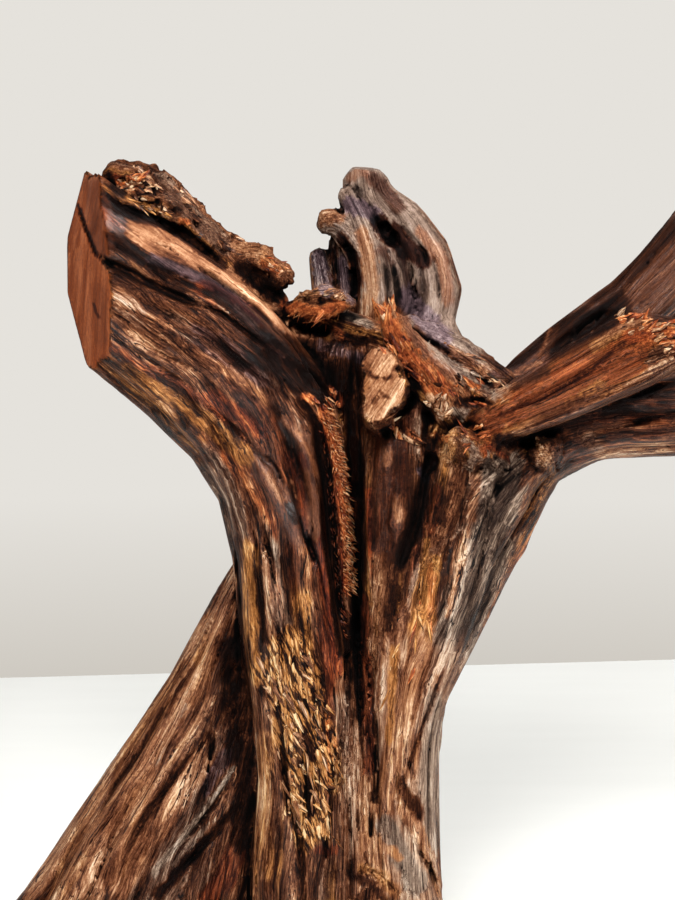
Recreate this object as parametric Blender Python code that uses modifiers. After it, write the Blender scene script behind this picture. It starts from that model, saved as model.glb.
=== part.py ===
"""A driftwood horse head: one weathered root on its own spread foot.

The raised limb on the left is the muzzle, sawn off square at its end, the
blade behind the crotch is the ear, and two more limbs leave to the right.
The trunk narrows to a waist and spreads into root legs that are cut flat
below, so the wood is its own stand. Everything is one piece of wood.

The form is laid down the way the wood grew. A guide is the middle line of a
limb with its half width and half depth. Strands of grain run along a guide
as tapered tubes side by side, and a few short strands make the knots, the
splinters and the broken stubs. All of them are fused into one skin, and then
the saw cuts are made.

Guides and strands are drawn in units of which DRAWN_HEIGHT make the whole
height. +X is the viewer's right, -Y faces the viewer, +Z is up, and the
origin is on the flat underside below the trunk.
"""
import math

import bmesh
import bpy
from mathutils import Vector

# Driving sizes, in metres
HEIGHT = 0.42                 # underside to the top of the muzzle
SKIN_VOXEL = 0.0027           # cell in which the strands are fused
FACE_COUNT = 9400             # triangles kept of the fused skin
UNDERCUT = 0.04               # how far the strands run on below the foot cut
FOOT_REACH = 260              # size of the cutter under the foot, in drawn units
TUBE_RESOLUTION = 3           # roundness of each strand's tube
COLOUR = (0.16, 0.075, 0.035, 1.0)
ROUGHNESS = 0.45

DRAWN_HEIGHT = 420.0
UNIT = HEIGHT / DRAWN_HEIGHT

# Middle lines: x, y, z, half width across the view, half depth along it
GUIDES = {
    # from the foot up the left of the trunk and out along the muzzle
    "muzzle": ((-19, 0, 0, 29, 46), (-19, 0, 60, 28, 43), (-16, 0, 110, 27, 41),
               (-18, 0, 160, 30, 41), (-22, 0, 210, 31, 41), (-25, 0, 250, 33, 41),
               (-37, 0, 290, 40, 40), (-62, 0, 320, 42, 37), (-92, 0, 345, 41, 34),
               (-122, 0, 368, 40, 31), (-154, 0, 391, 40, 30)),
    # from the foot up the right of the trunk and out along the lower right limb
    "poll": ((34, 0, 0, 22, 46), (33, 0, 50, 21, 43), (32, 0, 110, 20, 41),
             (34, 0, 150, 22, 41), (45, 0, 200, 33, 41), (57, 0, 245, 41, 40),
             (90, 2, 284, 32, 34), (128, 2, 294, 24, 27), (165, 0, 296, 24, 24),
             (206, 0, 298, 24, 22), (240, 0, 299, 24, 20)),
    # the wood between the two, deep in the furrow
    "heart": ((6, 4, 0, 22, 32), (8, 4, 60, 18, 30), (10, 4, 120, 18, 30),
              (10, 4, 200, 19, 30), (12, 4, 270, 24, 31), (10, 6, 318, 24, 26)),
    # the root leg that leaves to the left
    "leg": ((-10, 12, 250, 12, 14), (-43, 20, 205, 14, 18), (-66, 18, 146, 24, 22),
            (-84, 14, 104, 33, 26), (-101, 9, 66, 40, 30), (-120, 4, 24, 46, 33),
            (-136, 1, 0, 48, 34)),
    "ear": ((44, 12, 236, 40, 22), (38, 32, 296, 41, 19), (29, 42, 332, 39, 14),
            (29, 45, 358, 37, 12), (25, 46, 382, 28, 10), (17, 46, 408, 16, 8)),
    # the upper right limb, behind
    "neck": ((52, 14, 240, 30, 24), (92, 42, 296, 24, 21), (128, 52, 322, 21, 17),
             (158, 55, 340, 20, 15), (184, 56, 366, 19, 14), (206, 57, 396, 19, 14),
             (226, 58, 424, 19, 13)),
    # a root at the back
    "spur": ((6, 14, 215, 16, 16), (10, 34, 150, 22, 20), (16, 58, 80, 26, 24),
             (24, 80, 20, 30, 27), (27, 88, 0, 31, 28)),
}
CORE_FILL = 0.74              # a core's radius, of the guide's thinner half
CORE_PLACES = {"muzzle": (-1.0, 0.0, 1.0), "poll": (-1.0, 0.0, 1.0), "heart": (-1.0, 1.0),
               "leg": (-1.0, 0.0, 1.0), "ear": (-1.0, 0.0, 1.0), "neck": (0.0,),
               "spur": (-1.0, 1.0)}

# Strands: guide, side (-1 the front, 1 the back), place across the guide at
# each end (-1 left or lower, 1 right or upper), radius at each end, and the
# share of the guide where the strand starts and stops
STRANDS = {
    # the left half of the trunk, from the foot up into the muzzle
    "shin edge": ("muzzle", -0.3, -0.95, -0.95, 17, 14, 0.0, 1.0),
    "shin column": ("muzzle", -1.0, -0.7, -0.74, 17, 11, 0.0, 1.0),
    "throat flute": ("muzzle", -0.97, -0.1, -0.45, 11, 9, 0.05, 1.0),
    "shin lobe": ("muzzle", -1.0, 0.45, -0.12, 10, 10, 0.0, 1.0),
    "cheek flute": ("muzzle", -0.96, 0.85, 0.2, 7, 10, 0.1, 1.0),
    "brow": ("muzzle", -1.0, 0.98, 0.55, 7, 12, 0.4, 1.0),
    "crest": ("muzzle", -0.5, 0.98, 0.93, 8, 11, 0.5, 1.0),
    "furrow wall": ("muzzle", -0.75, 0.98, 0.98, 8, 8, 0.1, 0.6),
    "back of the shin": ("muzzle", 0.8, -0.8, -0.75, 16, 14, 0.0, 1.0),
    "back of the cheek": ("muzzle", 1.0, -0.25, -0.15, 12, 11, 0.0, 1.0),
    "back of the brow": ("muzzle", 0.95, 0.25, 0.35, 11, 10, 0.05, 1.0),
    "back of the crest": ("muzzle", 0.8, 0.8, 0.8, 11, 11, 0.0, 1.0),
    # the right half, from the foot up to the knots and out along the limb
    "furrow lip": ("poll", -0.95, -1.0, -1.0, 6, 5, 0.08, 0.62),
    "pillar": ("poll", -1.0, -0.45, -0.62, 9, 15, 0.02, 0.6),
    "pillar flute": ("poll", -0.92, 0.1, -0.12, 8, 9, 0.12, 0.58),
    "honey flute": ("poll", -1.0, 0.45, 0.22, 8, 10, 0.1, 0.57),
    "second flute": ("poll", -0.9, 0.78, 0.58, 7, 10, 0.16, 0.6),
    "third flute": ("poll", -0.6, 0.95, 0.88, 7, 10, 0.22, 0.62),
    "flank": ("poll", 0.2, 1.0, 1.0, 13, 14, 0.0, 1.0),
    "limb top": ("poll", -0.4, -0.6, -0.9, 11, 10, 0.6, 1.0),
    "limb face": ("poll", -0.98, -0.1, -0.2, 10, 9, 0.55, 1.0),
    "limb face, lower": ("poll", -0.95, 0.5, 0.45, 10, 9, 0.55, 1.0),
    "limb underside": ("poll", -0.5, 0.95, 0.95, 10, 9, 0.55, 1.0),
    "back of the pillar": ("poll", 1.0, -0.6, -0.5, 12, 14, 0.0, 0.62),
    "back of the poll": ("poll", 0.95, -0.05, 0.1, 10, 11, 0.0, 1.0),
    "back of the honey flute": ("poll", 0.98, 0.45, 0.5, 10, 10, 0.0, 1.0),
    "back of the flank": ("poll", 0.6, 0.95, 0.92, 10, 11, 0.0, 0.9),
    # the root leg
    "leg rim": ("leg", -0.1, 0.95, 0.97, 8, 15, 0.0, 1.0),
    "leg ridge": ("leg", -0.85, 0.6, 0.66, 6, 11, 0.1, 1.0),
    "leg flute": ("leg", -0.95, 0.2, 0.34, 6, 9, 0.15, 1.0),
    "leg middle": ("leg", -1.0, -0.05, 0.05, 6, 11, 0.15, 1.0),
    "leg inner flute": ("leg", -0.9, -0.35, -0.25, 6, 9, 0.25, 1.0),
    "leg inner ridge": ("leg", -1.0, -0.6, -0.55, 7, 11, 0.2, 1.0),
    "leg heel": ("leg", -0.7, -0.9, -0.88, 9, 13, 0.2, 1.0),
    "back of the leg": ("leg", 0.9, 0.6, 0.6, 9, 13, 0.0, 1.0),
    "back of the leg, middle": ("leg", 1.0, 0.05, 0.05, 9, 12, 0.0, 1.0),
    "back of the heel": ("leg", 0.95, -0.5, -0.5, 9, 13, 0.0, 1.0),
    # the ear
    "ear rim": ("ear", -0.3, 0.95, 0.8, 11, 8, 0.0, 0.97),
    "ear fold": ("ear", -1.0, 0.55, 0.5, 8, 6, 0.1, 1.0),
    "ear furl": ("ear", -0.7, 0.15, -0.2, 7, 6, 0.1, 1.0),
    "back of the ear": ("ear", 1.0, 0.5, 0.35, 9, 6, 0.0, 0.95),
    "back of the ear, middle": ("ear", 0.9, 0.05, -0.1, 9, 6, 0.0, 0.97),
    "back of the ear, inner": ("ear", 1.0, -0.4, -0.55, 9, 5, 0.0, 0.86),
    # the upper right limb
    "neck top": ("neck", -0.3, -0.9, -0.9, 11, 9, 0.0, 1.0),
    "neck side": ("neck", -1.0, -0.35, 0.1, 10, 8, 0.0, 1.0),
    "neck side, lower": ("neck", -0.9, 0.3, 0.6, 10, 8, 0.1, 1.0),
    "neck underside": ("neck", -0.3, 0.9, 0.9, 11, 9, 0.0, 1.0),
    "back of the neck": ("neck", 1.0, -0.4, -0.4, 11, 8, 0.0, 1.0),
    "back of the neck, lower": ("neck", 0.9, 0.4, 0.4, 11, 8, 0.0, 1.0),
    # the root behind
    "spur left": ("spur", 0.9, -0.7, -0.7, 9, 12, 0.0, 1.0),
    "spur middle": ("spur", 1.0, 0.0, 0.1, 9, 12, 0.0, 1.0),
    "spur right": ("spur", 0.8, 0.85, 0.85, 9, 12, 0.0, 1.0),
    "spur side": ("spur", -0.3, 1.0, 1.0, 9, 12, 0.2, 1.0),
}

# Short strands by themselves: x, y, z, radius
KNOTS = {
    "mane": ((-32, 12, 346, 9), (-58, 14, 369, 11), (-86, 14, 396, 12), (-108, 14, 408, 9)),
    "mane knob": ((-46, 12, 358, 9), (-33, 8, 365, 10), (-25, 6, 361, 8)),
    "sawn knot, lower": ((28, 0, 294, 13), (25, -30, 300, 13), (23, -60, 303, 12)),
    "sawn knot, upper": ((26, 0, 308, 12), (24, -30, 313, 12), (22, -60, 316, 11)),
    "crotch rim": ((36, -8, 338, 6), (56, -12, 325, 10), (80, -16, 306, 11), (104, -16, 290, 10)),
    "splintered horn": ((54, -22, 298, 10), (34, -24, 329, 7), (27, -22, 343, 3)),
    "pale stub": ((34, -4, 326, 9), (0, 0, 338, 8)),
    "torn shell": ((-24, -4, 328, 9), (-12, -9, 341, 9), (4, -10, 346, 8)),
    "pillar head": ((24, -20, 180, 12), (29, -23, 225, 17), (33, -20, 268, 20), (34, -12, 300, 17)),
    "column under the ring": ((40, -24, 185, 10), (49, -27, 230, 12), (57, -26, 262, 13), (60, -22, 284, 10)),
    "crotch": ((30, 6, 190, 24), (40, 6, 250, 32), (50, 8, 288, 28)),
    "ringed knot": ((62, -20, 275, 12), (60, -36, 283, 8), (58, -42, 286, 6)),
    "rough knot": ((74, -20, 275, 12), (71, -36, 280, 9)),
    "flank knot": ((100, -8, 275, 12), (100, -30, 278, 8)),
    "torn limb, upper": ((62, -28, 288, 6), (90, -38, 308, 9), (135, -44, 334, 10), (156, -45, 337, 7)),
    "torn limb, lower": ((62, -28, 282, 6), (90, -38, 297, 9), (138, -43, 319, 11), (158, -44, 327, 8)),
    "ear prong": ((16, 28, 310, 9), (16, 36, 348, 8), (7, 37, 380, 7), (-2, 37, 390, 6)),
    "ear spike": ((4, 30, 312, 9), (-6, 40, 348, 7), (-10, 42, 369, 5)),
    "ear spike, behind": ((8, 36, 320, 9), (2, 44, 366, 7), (3, 44, 386, 5)),
    "knee": ((30, -22, 112, 5), (33, -26, 84, 11), (38, -27, 40, 16), (44, -28, 0, 19)),
    "knee, inner": ((16, -34, 96, 5), (15, -35, 60, 11), (14, -36, 25, 16), (13, -36, 0, 18)),
    "web of the leg": ((-24, 16, 205, 12), (-42, 14, 140, 22), (-60, 12, 70, 27), (-72, 10, 0, 30)),
    "hip": ((-30, 24, 220, 16), (-30, 30, 120, 22), (-40, 34, 40, 26), (-48, 36, 0, 28)),
    "foot fill": ((14, 6, 60, 26), (14, 6, 30, 32), (14, 8, 0, 34)),
}

# Flat saw cuts: a point, the outward direction, and how much of the wood
# round that point the cutter covers
CUTS = {
    "muzzle face": ((-122, -7, 362), (-0.885, -0.465, 0.0), 80),
    "muzzle face, upper": ((-121, -7, 395), (-0.885, -0.42, 0.16), 80),
    "lower limb end": ((206, 0, 298), (0.97, -0.2, -0.1), 70),
    "upper limb end": ((205, 57, 408), (0.62, 0.1, 0.78), 70),
    "sawn knot face": ((24, -53, 308), (-0.15, -0.95, 0.25), 34),
}
WANDER = 0.05                 # how far a strand strays across its guide
SWELL = 0.07                  # how much its radius comes and goes
STEPS = 12                    # stations along each strand


def spline_point(points, share):
    """The point at a share of the length of a smooth curve through points."""
    lengths = [0.0]
    for a, b in zip(points[:-1], points[1:]):
        lengths.append(lengths[-1] + math.dist(a[:3], b[:3]))
    along = min(max(share, 0.0), 1.0) * lengths[-1]
    i = 0
    while i < len(points) - 2 and lengths[i + 1] < along:
        i += 1
    t = (along - lengths[i]) / (lengths[i + 1] - lengths[i])
    b, c = points[i], points[i + 1]
    a = points[i - 1] if i > 0 else tuple(2 * p - q for p, q in zip(b, c))
    d = points[i + 2] if i + 2 < len(points) else tuple(2 * q - p for p, q in zip(b, c))
    return [0.5 * (2 * q + (r - p) * t + (2 * p - 5 * q + 4 * r - s) * t * t
                   + (3 * q - p - 3 * r + s) * t ** 3) for p, q, r, s in zip(a, b, c, d)]


def section(guide, share):
    """Centre, direction across, half width and half depth of a guide."""
    here = spline_point(guide, share)
    ahead = spline_point(guide, share + 0.02)
    behind = spline_point(guide, share - 0.02)
    run_x, run_z = ahead[0] - behind[0], ahead[2] - behind[2]
    across = Vector((run_z, 0.0, -run_x)).normalized()
    return Vector(here[:3]), across, here[3], here[4]


def strand_stations(strand, number):
    """Stations (x, y, z, radius) of one strand beside its guide."""
    name, side, place_0, place_1, radius_0, radius_1, start, stop = strand
    phase = number * 2.4
    stations = []
    for k in range(STEPS + 1):
        t = k / STEPS
        centre, across, half_width, half_depth = section(GUIDES[name], start + (stop - start) * t)
        place = place_0 + (place_1 - place_0) * t + WANDER * math.sin(6.0 * t + phase)
        radius = (radius_0 + (radius_1 - radius_0) * t) * (1.0 + SWELL * math.sin(9.0 * t + 2.0 * phase))
        place = min(max(place, -1.0), 1.0)
        depth = side * math.sqrt(1.0 - 0.75 * place * place) * max(half_depth - radius, 0.0)
        point = centre + across * (place * max(half_width - radius, 0.0)) + Vector((0.0, depth, 0.0))
        stations.append((point.x, point.y, point.z, radius))
    return stations


def core_stations(name, place):
    """Stations of the solid wood under the strands of a guide."""
    stations = []
    for k in range(STEPS + 1):
        centre, across, half_width, half_depth = section(GUIDES[name], k / STEPS)
        radius = CORE_FILL * min(half_width, half_depth)
        point = centre + across * (place * (half_width - radius) * 0.6)
        stations.append((point.x, point.y, point.z, radius))
    return stations


def knot_stations(points):
    """Stations along a smooth curve through a knot's own points."""
    return [spline_point(points, k / STEPS) for k in range(STEPS + 1)]


def run_below_foot(stations):
    """The same stations, carried straight on below the foot cut from an end that reaches it."""
    first, second = (stations[0], stations[1]) if stations[0][2] < stations[-1][2] else (stations[-1], stations[-2])
    if first[2] > 1.0:
        return list(stations)
    run = (Vector(first[:3]) - Vector(second[:3])).normalized() * UNDERCUT / UNIT
    end = (first[0] + run.x, first[1] + run.y, first[2] + run.z, first[3])
    return [end] + list(stations) if first is stations[0] else list(stations) + [end]


def domed(stations):
    """The same stations with a round end before the first and after the last."""
    ends = []
    for end, beside in ((stations[0], stations[1]), (stations[-1], stations[-2])):
        out = (Vector(end[:3]) - Vector(beside[:3])).normalized()
        dome = []
        for reach, girth in ((0.5, 0.87), (0.87, 0.5)):
            tip = Vector(end[:3]) + out * end[3] * reach
            dome.append((tip.x, tip.y, tip.z, end[3] * girth))
        ends.append(dome)
    return ends[0][::-1] + list(stations) + ends[1]


def add_tube(curve, stations):
    """One strand as a spline of the tube curve."""
    spline = curve.splines.new("POLY")
    spline.points.add(len(stations) - 1)
    for point, (x, y, z, radius) in zip(spline.points, stations):
        point.co = (x * UNIT, y * UNIT, z * UNIT, 1.0)
        point.radius = radius


def grown_wood():
    """All strands as tubes, made into one mesh object."""
    curve = bpy.data.curves.new("strands", "CURVE")
    curve.dimensions = "3D"
    curve.bevel_depth = UNIT
    curve.bevel_resolution = TUBE_RESOLUTION
    curve.use_fill_caps = True
    for number, strand in enumerate(STRANDS.values()):
        add_tube(curve, domed(run_below_foot(strand_stations(strand, number))))
    for name, places in CORE_PLACES.items():
        for place in places:
            add_tube(curve, domed(run_below_foot(core_stations(name, place))))
    for points in KNOTS.values():
        add_tube(curve, domed(run_below_foot(knot_stations(points))))
    tubes = bpy.data.objects.new("strands", curve)
    bpy.context.scene.collection.objects.link(tubes)
    mesh = new_mesh_of(tubes)
    weld = bmesh.new()
    weld.from_mesh(mesh)
    bmesh.ops.remove_doubles(weld, verts=weld.verts, dist=0.00002)
    bmesh.ops.recalc_face_normals(weld, faces=weld.faces)
    weld.to_mesh(mesh)
    weld.free()
    wood = bpy.data.objects.new("driftwood", mesh)
    wood.matrix_world = tubes.matrix_world
    bpy.data.objects.remove(tubes)
    return wood


def new_mesh_of(wood):
    """The mesh of an object with its modifiers applied."""
    bpy.context.view_layer.update()
    evaluated = wood.evaluated_get(bpy.context.evaluated_depsgraph_get())
    return bpy.data.meshes.new_from_object(evaluated)


def fill_pockets(mesh):
    """Fill the closed pockets between strands: only the outer skin stays."""
    skin = bmesh.new()
    skin.from_mesh(mesh)
    unseen = set(skin.verts)
    largest = set()
    while unseen:
        island = {unseen.pop()}
        edge = list(island)
        while edge:
            vert = edge.pop()
            for link in vert.link_edges:
                other = link.other_vert(vert)
                if other not in island:
                    island.add(other)
                    edge.append(other)
        unseen -= island
        if len(island) > len(largest):
            largest = island
    bmesh.ops.delete(skin, geom=[v for v in skin.verts if v not in largest], context="VERTS")
    skin.to_mesh(mesh)
    skin.free()


def wood_material():
    material = bpy.data.materials.new("varnished driftwood")
    material.use_nodes = True
    shader = material.node_tree.nodes["Principled BSDF"]
    shader.inputs["Base Color"].default_value = COLOUR
    shader.inputs["Roughness"].default_value = ROUGHNESS
    shader.inputs["Metallic"].default_value = 0.0
    return material


def add_cutter(name, point, outward, size, collection):
    """A box whose inner face lies on a saw cut."""
    mesh = bpy.data.meshes.new(name)
    box = bmesh.new()
    bmesh.ops.create_cube(box, size=1.0)
    for vert in box.verts:
        vert.co.x *= 2.0 * size * UNIT
        vert.co.y *= 2.0 * size * UNIT
        vert.co.z = (vert.co.z + 0.5) * size * UNIT
    box.to_mesh(mesh)
    box.free()
    cutter = bpy.data.objects.new(name, mesh)
    cutter.location = Vector(point) * UNIT
    cutter.rotation_euler = Vector(outward).to_track_quat("Z", "Y").to_euler()
    cutter.hide_render = True
    cutter.display_type = "WIRE"
    collection.objects.link(cutter)
    return cutter


def cut(wood, cutter):
    """Take a cutter out of the wood."""
    boolean = wood.modifiers.new(cutter.name, "BOOLEAN")
    boolean.operation = "DIFFERENCE"
    boolean.solver = "EXACT"
    boolean.object = cutter


def main():
    for leftover in list(bpy.data.objects):
        bpy.data.objects.remove(leftover)
    scene = bpy.context.scene.collection
    parts = bpy.data.collections.new("driftwood horse head")
    cutters = bpy.data.collections.new("cutters")
    scene.children.link(parts)
    scene.children.link(cutters)

    wood = grown_wood()
    parts.objects.link(wood)
    wood.data.materials.clear()
    wood.data.materials.append(wood_material())

    fuse = wood.modifiers.new("fuse", "REMESH")
    fuse.mode = "VOXEL"
    fuse.voxel_size = SKIN_VOXEL
    fuse.use_smooth_shade = True
    strands = wood.data
    wood.data = new_mesh_of(wood)
    wood.modifiers.remove(fuse)
    bpy.data.meshes.remove(strands)
    fill_pockets(wood.data)

    ease = wood.modifiers.new("ease", "SMOOTH")
    ease.factor = 0.5
    ease.iterations = 2
    thin = wood.modifiers.new("thin", "DECIMATE")
    thin.ratio = min(1.0, 0.5 * FACE_COUNT / len(wood.data.polygons))
    thin.use_collapse_triangulate = True

    for name, (point, outward, size) in CUTS.items():
        cut(wood, add_cutter(name, point, outward, size, cutters))
    cut(wood, add_cutter("foot", (0.0, 30.0, 0.0), (0.0, 0.0, -1.0), FOOT_REACH, cutters))


if __name__ == "__main__":
    main()
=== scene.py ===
"""The driftwood horse head, dressed for rendering.

The skin of the wood is grown on a fine grid from tubes along the limbs of the
solid, with its cracks, furrows and torn ends, and it stands for the CAD node.
Splinters, fibres and flakes lie on it. Each of these four pieces has an
operator of its own, and so has the stage with the table, the lights and the
camera. The panel is in the 3D view's sidebar, under Driftwood.
"""
import math

import bmesh
import bpy
import numpy as np
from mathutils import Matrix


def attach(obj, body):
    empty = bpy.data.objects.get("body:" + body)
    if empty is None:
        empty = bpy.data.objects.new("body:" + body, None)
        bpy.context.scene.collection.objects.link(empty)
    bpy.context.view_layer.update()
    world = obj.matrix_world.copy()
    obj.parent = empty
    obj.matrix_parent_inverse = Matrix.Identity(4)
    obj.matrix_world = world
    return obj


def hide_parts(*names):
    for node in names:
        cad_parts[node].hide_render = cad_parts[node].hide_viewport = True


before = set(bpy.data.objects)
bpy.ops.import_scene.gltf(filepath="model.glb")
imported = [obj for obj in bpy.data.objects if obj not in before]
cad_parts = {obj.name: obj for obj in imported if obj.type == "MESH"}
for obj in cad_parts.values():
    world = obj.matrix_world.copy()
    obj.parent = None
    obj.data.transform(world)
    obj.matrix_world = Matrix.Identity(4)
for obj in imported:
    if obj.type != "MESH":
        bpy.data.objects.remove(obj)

import openvdb
from bpy.props import FloatProperty, IntProperty, PointerProperty
from mathutils import Vector
from mathutils.bvhtree import BVHTree

bl_info = {
    "name": "Driftwood horse head",
    "version": (1, 0, 0),
    "blender": (4, 5, 0),
    "location": "View3D > Sidebar > Driftwood",
    "description": "Grows the skin, the splinters and the stage of a driftwood horse head",
    "category": "Add Mesh",
}

WOOD_MATERIAL = "varnished_root_wood"

# The form, in drawn units of which DRAWN_HEIGHT make the whole height
HEIGHT = 0.42
DRAWN_HEIGHT = 420.0
UNIT = HEIGHT / DRAWN_HEIGHT
UNDERCUT = 40.0               # how far the strands run on below the foot cut
WANDER = 0.05                 # how far a strand strays across its guide
SWELL = 0.07                  # how much its radius comes and goes
STEPS = 12                    # stations along each strand
CORE_FILL = 0.74              # a core's radius, of the guide's thinner half
CORE_SPREAD = 0.6             # how far a core lies towards its guide's edge
FOOT_REACHED = 1.0            # an end lower than this runs on below the foot
GUIDE_SAMPLES = 60            # places where a guide's grain is measured
KNOT_SAMPLES = 16
AXIS_GAP = 371.0              # keeps the grain of two axes apart

# Middle lines: x, y, z, half width across the view, half depth along it
GUIDES = {
    "muzzle": ((-19, 0, 0, 29, 46), (-19, 0, 60, 28, 43), (-16, 0, 110, 27, 41),
               (-18, 0, 160, 30, 41), (-22, 0, 210, 31, 41), (-25, 0, 250, 33, 41),
               (-37, 0, 290, 40, 40), (-62, 0, 320, 42, 37), (-92, 0, 345, 41, 34),
               (-122, 0, 368, 40, 31), (-154, 0, 391, 40, 30)),
    "poll": ((34, 0, 0, 22, 46), (33, 0, 50, 21, 43), (32, 0, 110, 20, 41),
             (34, 0, 150, 22, 41), (45, 0, 200, 33, 41), (57, 0, 245, 41, 40),
             (90, 2, 284, 32, 34), (128, 2, 294, 24, 27), (165, 0, 296, 24, 24),
             (206, 0, 298, 24, 22), (240, 0, 299, 24, 20)),
    "heart": ((6, 4, 0, 22, 32), (8, 4, 60, 18, 30), (10, 4, 120, 18, 30),
              (10, 4, 200, 19, 30), (12, 4, 270, 24, 31), (10, 6, 318, 24, 26)),
    "leg": ((-10, 12, 250, 12, 14), (-43, 20, 205, 14, 18), (-66, 18, 146, 24, 22),
            (-84, 14, 104, 33, 26), (-101, 9, 66, 40, 30), (-120, 4, 24, 46, 33),
            (-136, 1, 0, 48, 34)),
    "ear": ((44, 12, 236, 40, 22), (37, 32, 296, 40, 19), (27, 42, 332, 36, 14),
            (29, 45, 358, 38, 12), (25, 46, 382, 25, 10), (16, 46, 398, 14, 9), (13, 46, 414, 10, 8)),
    "neck": ((52, 14, 240, 30, 24), (92, 42, 290, 21, 20), (128, 52, 319, 22, 17),
             (156, 55, 341, 21, 15), (182, 56, 370, 21, 14), (203, 57, 401, 20, 14),
             (222, 58, 430, 19, 13)),
    "spur": ((6, 14, 215, 16, 16), (10, 34, 150, 22, 20), (16, 58, 80, 26, 24),
             (24, 80, 20, 30, 27), (27, 88, 0, 31, 28)),
}
CORE_PLACES = {"muzzle": (-1.0, 0.0, 1.0), "poll": (-1.0, 0.0, 1.0), "heart": (-1.0, 1.0),
               "leg": (-1.0, 0.0, 1.0), "ear": (-1.5, -0.75, 0.0, 0.75, 1.5), "neck": (0.0,),
               "spur": (-1.0, 1.0)}

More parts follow.
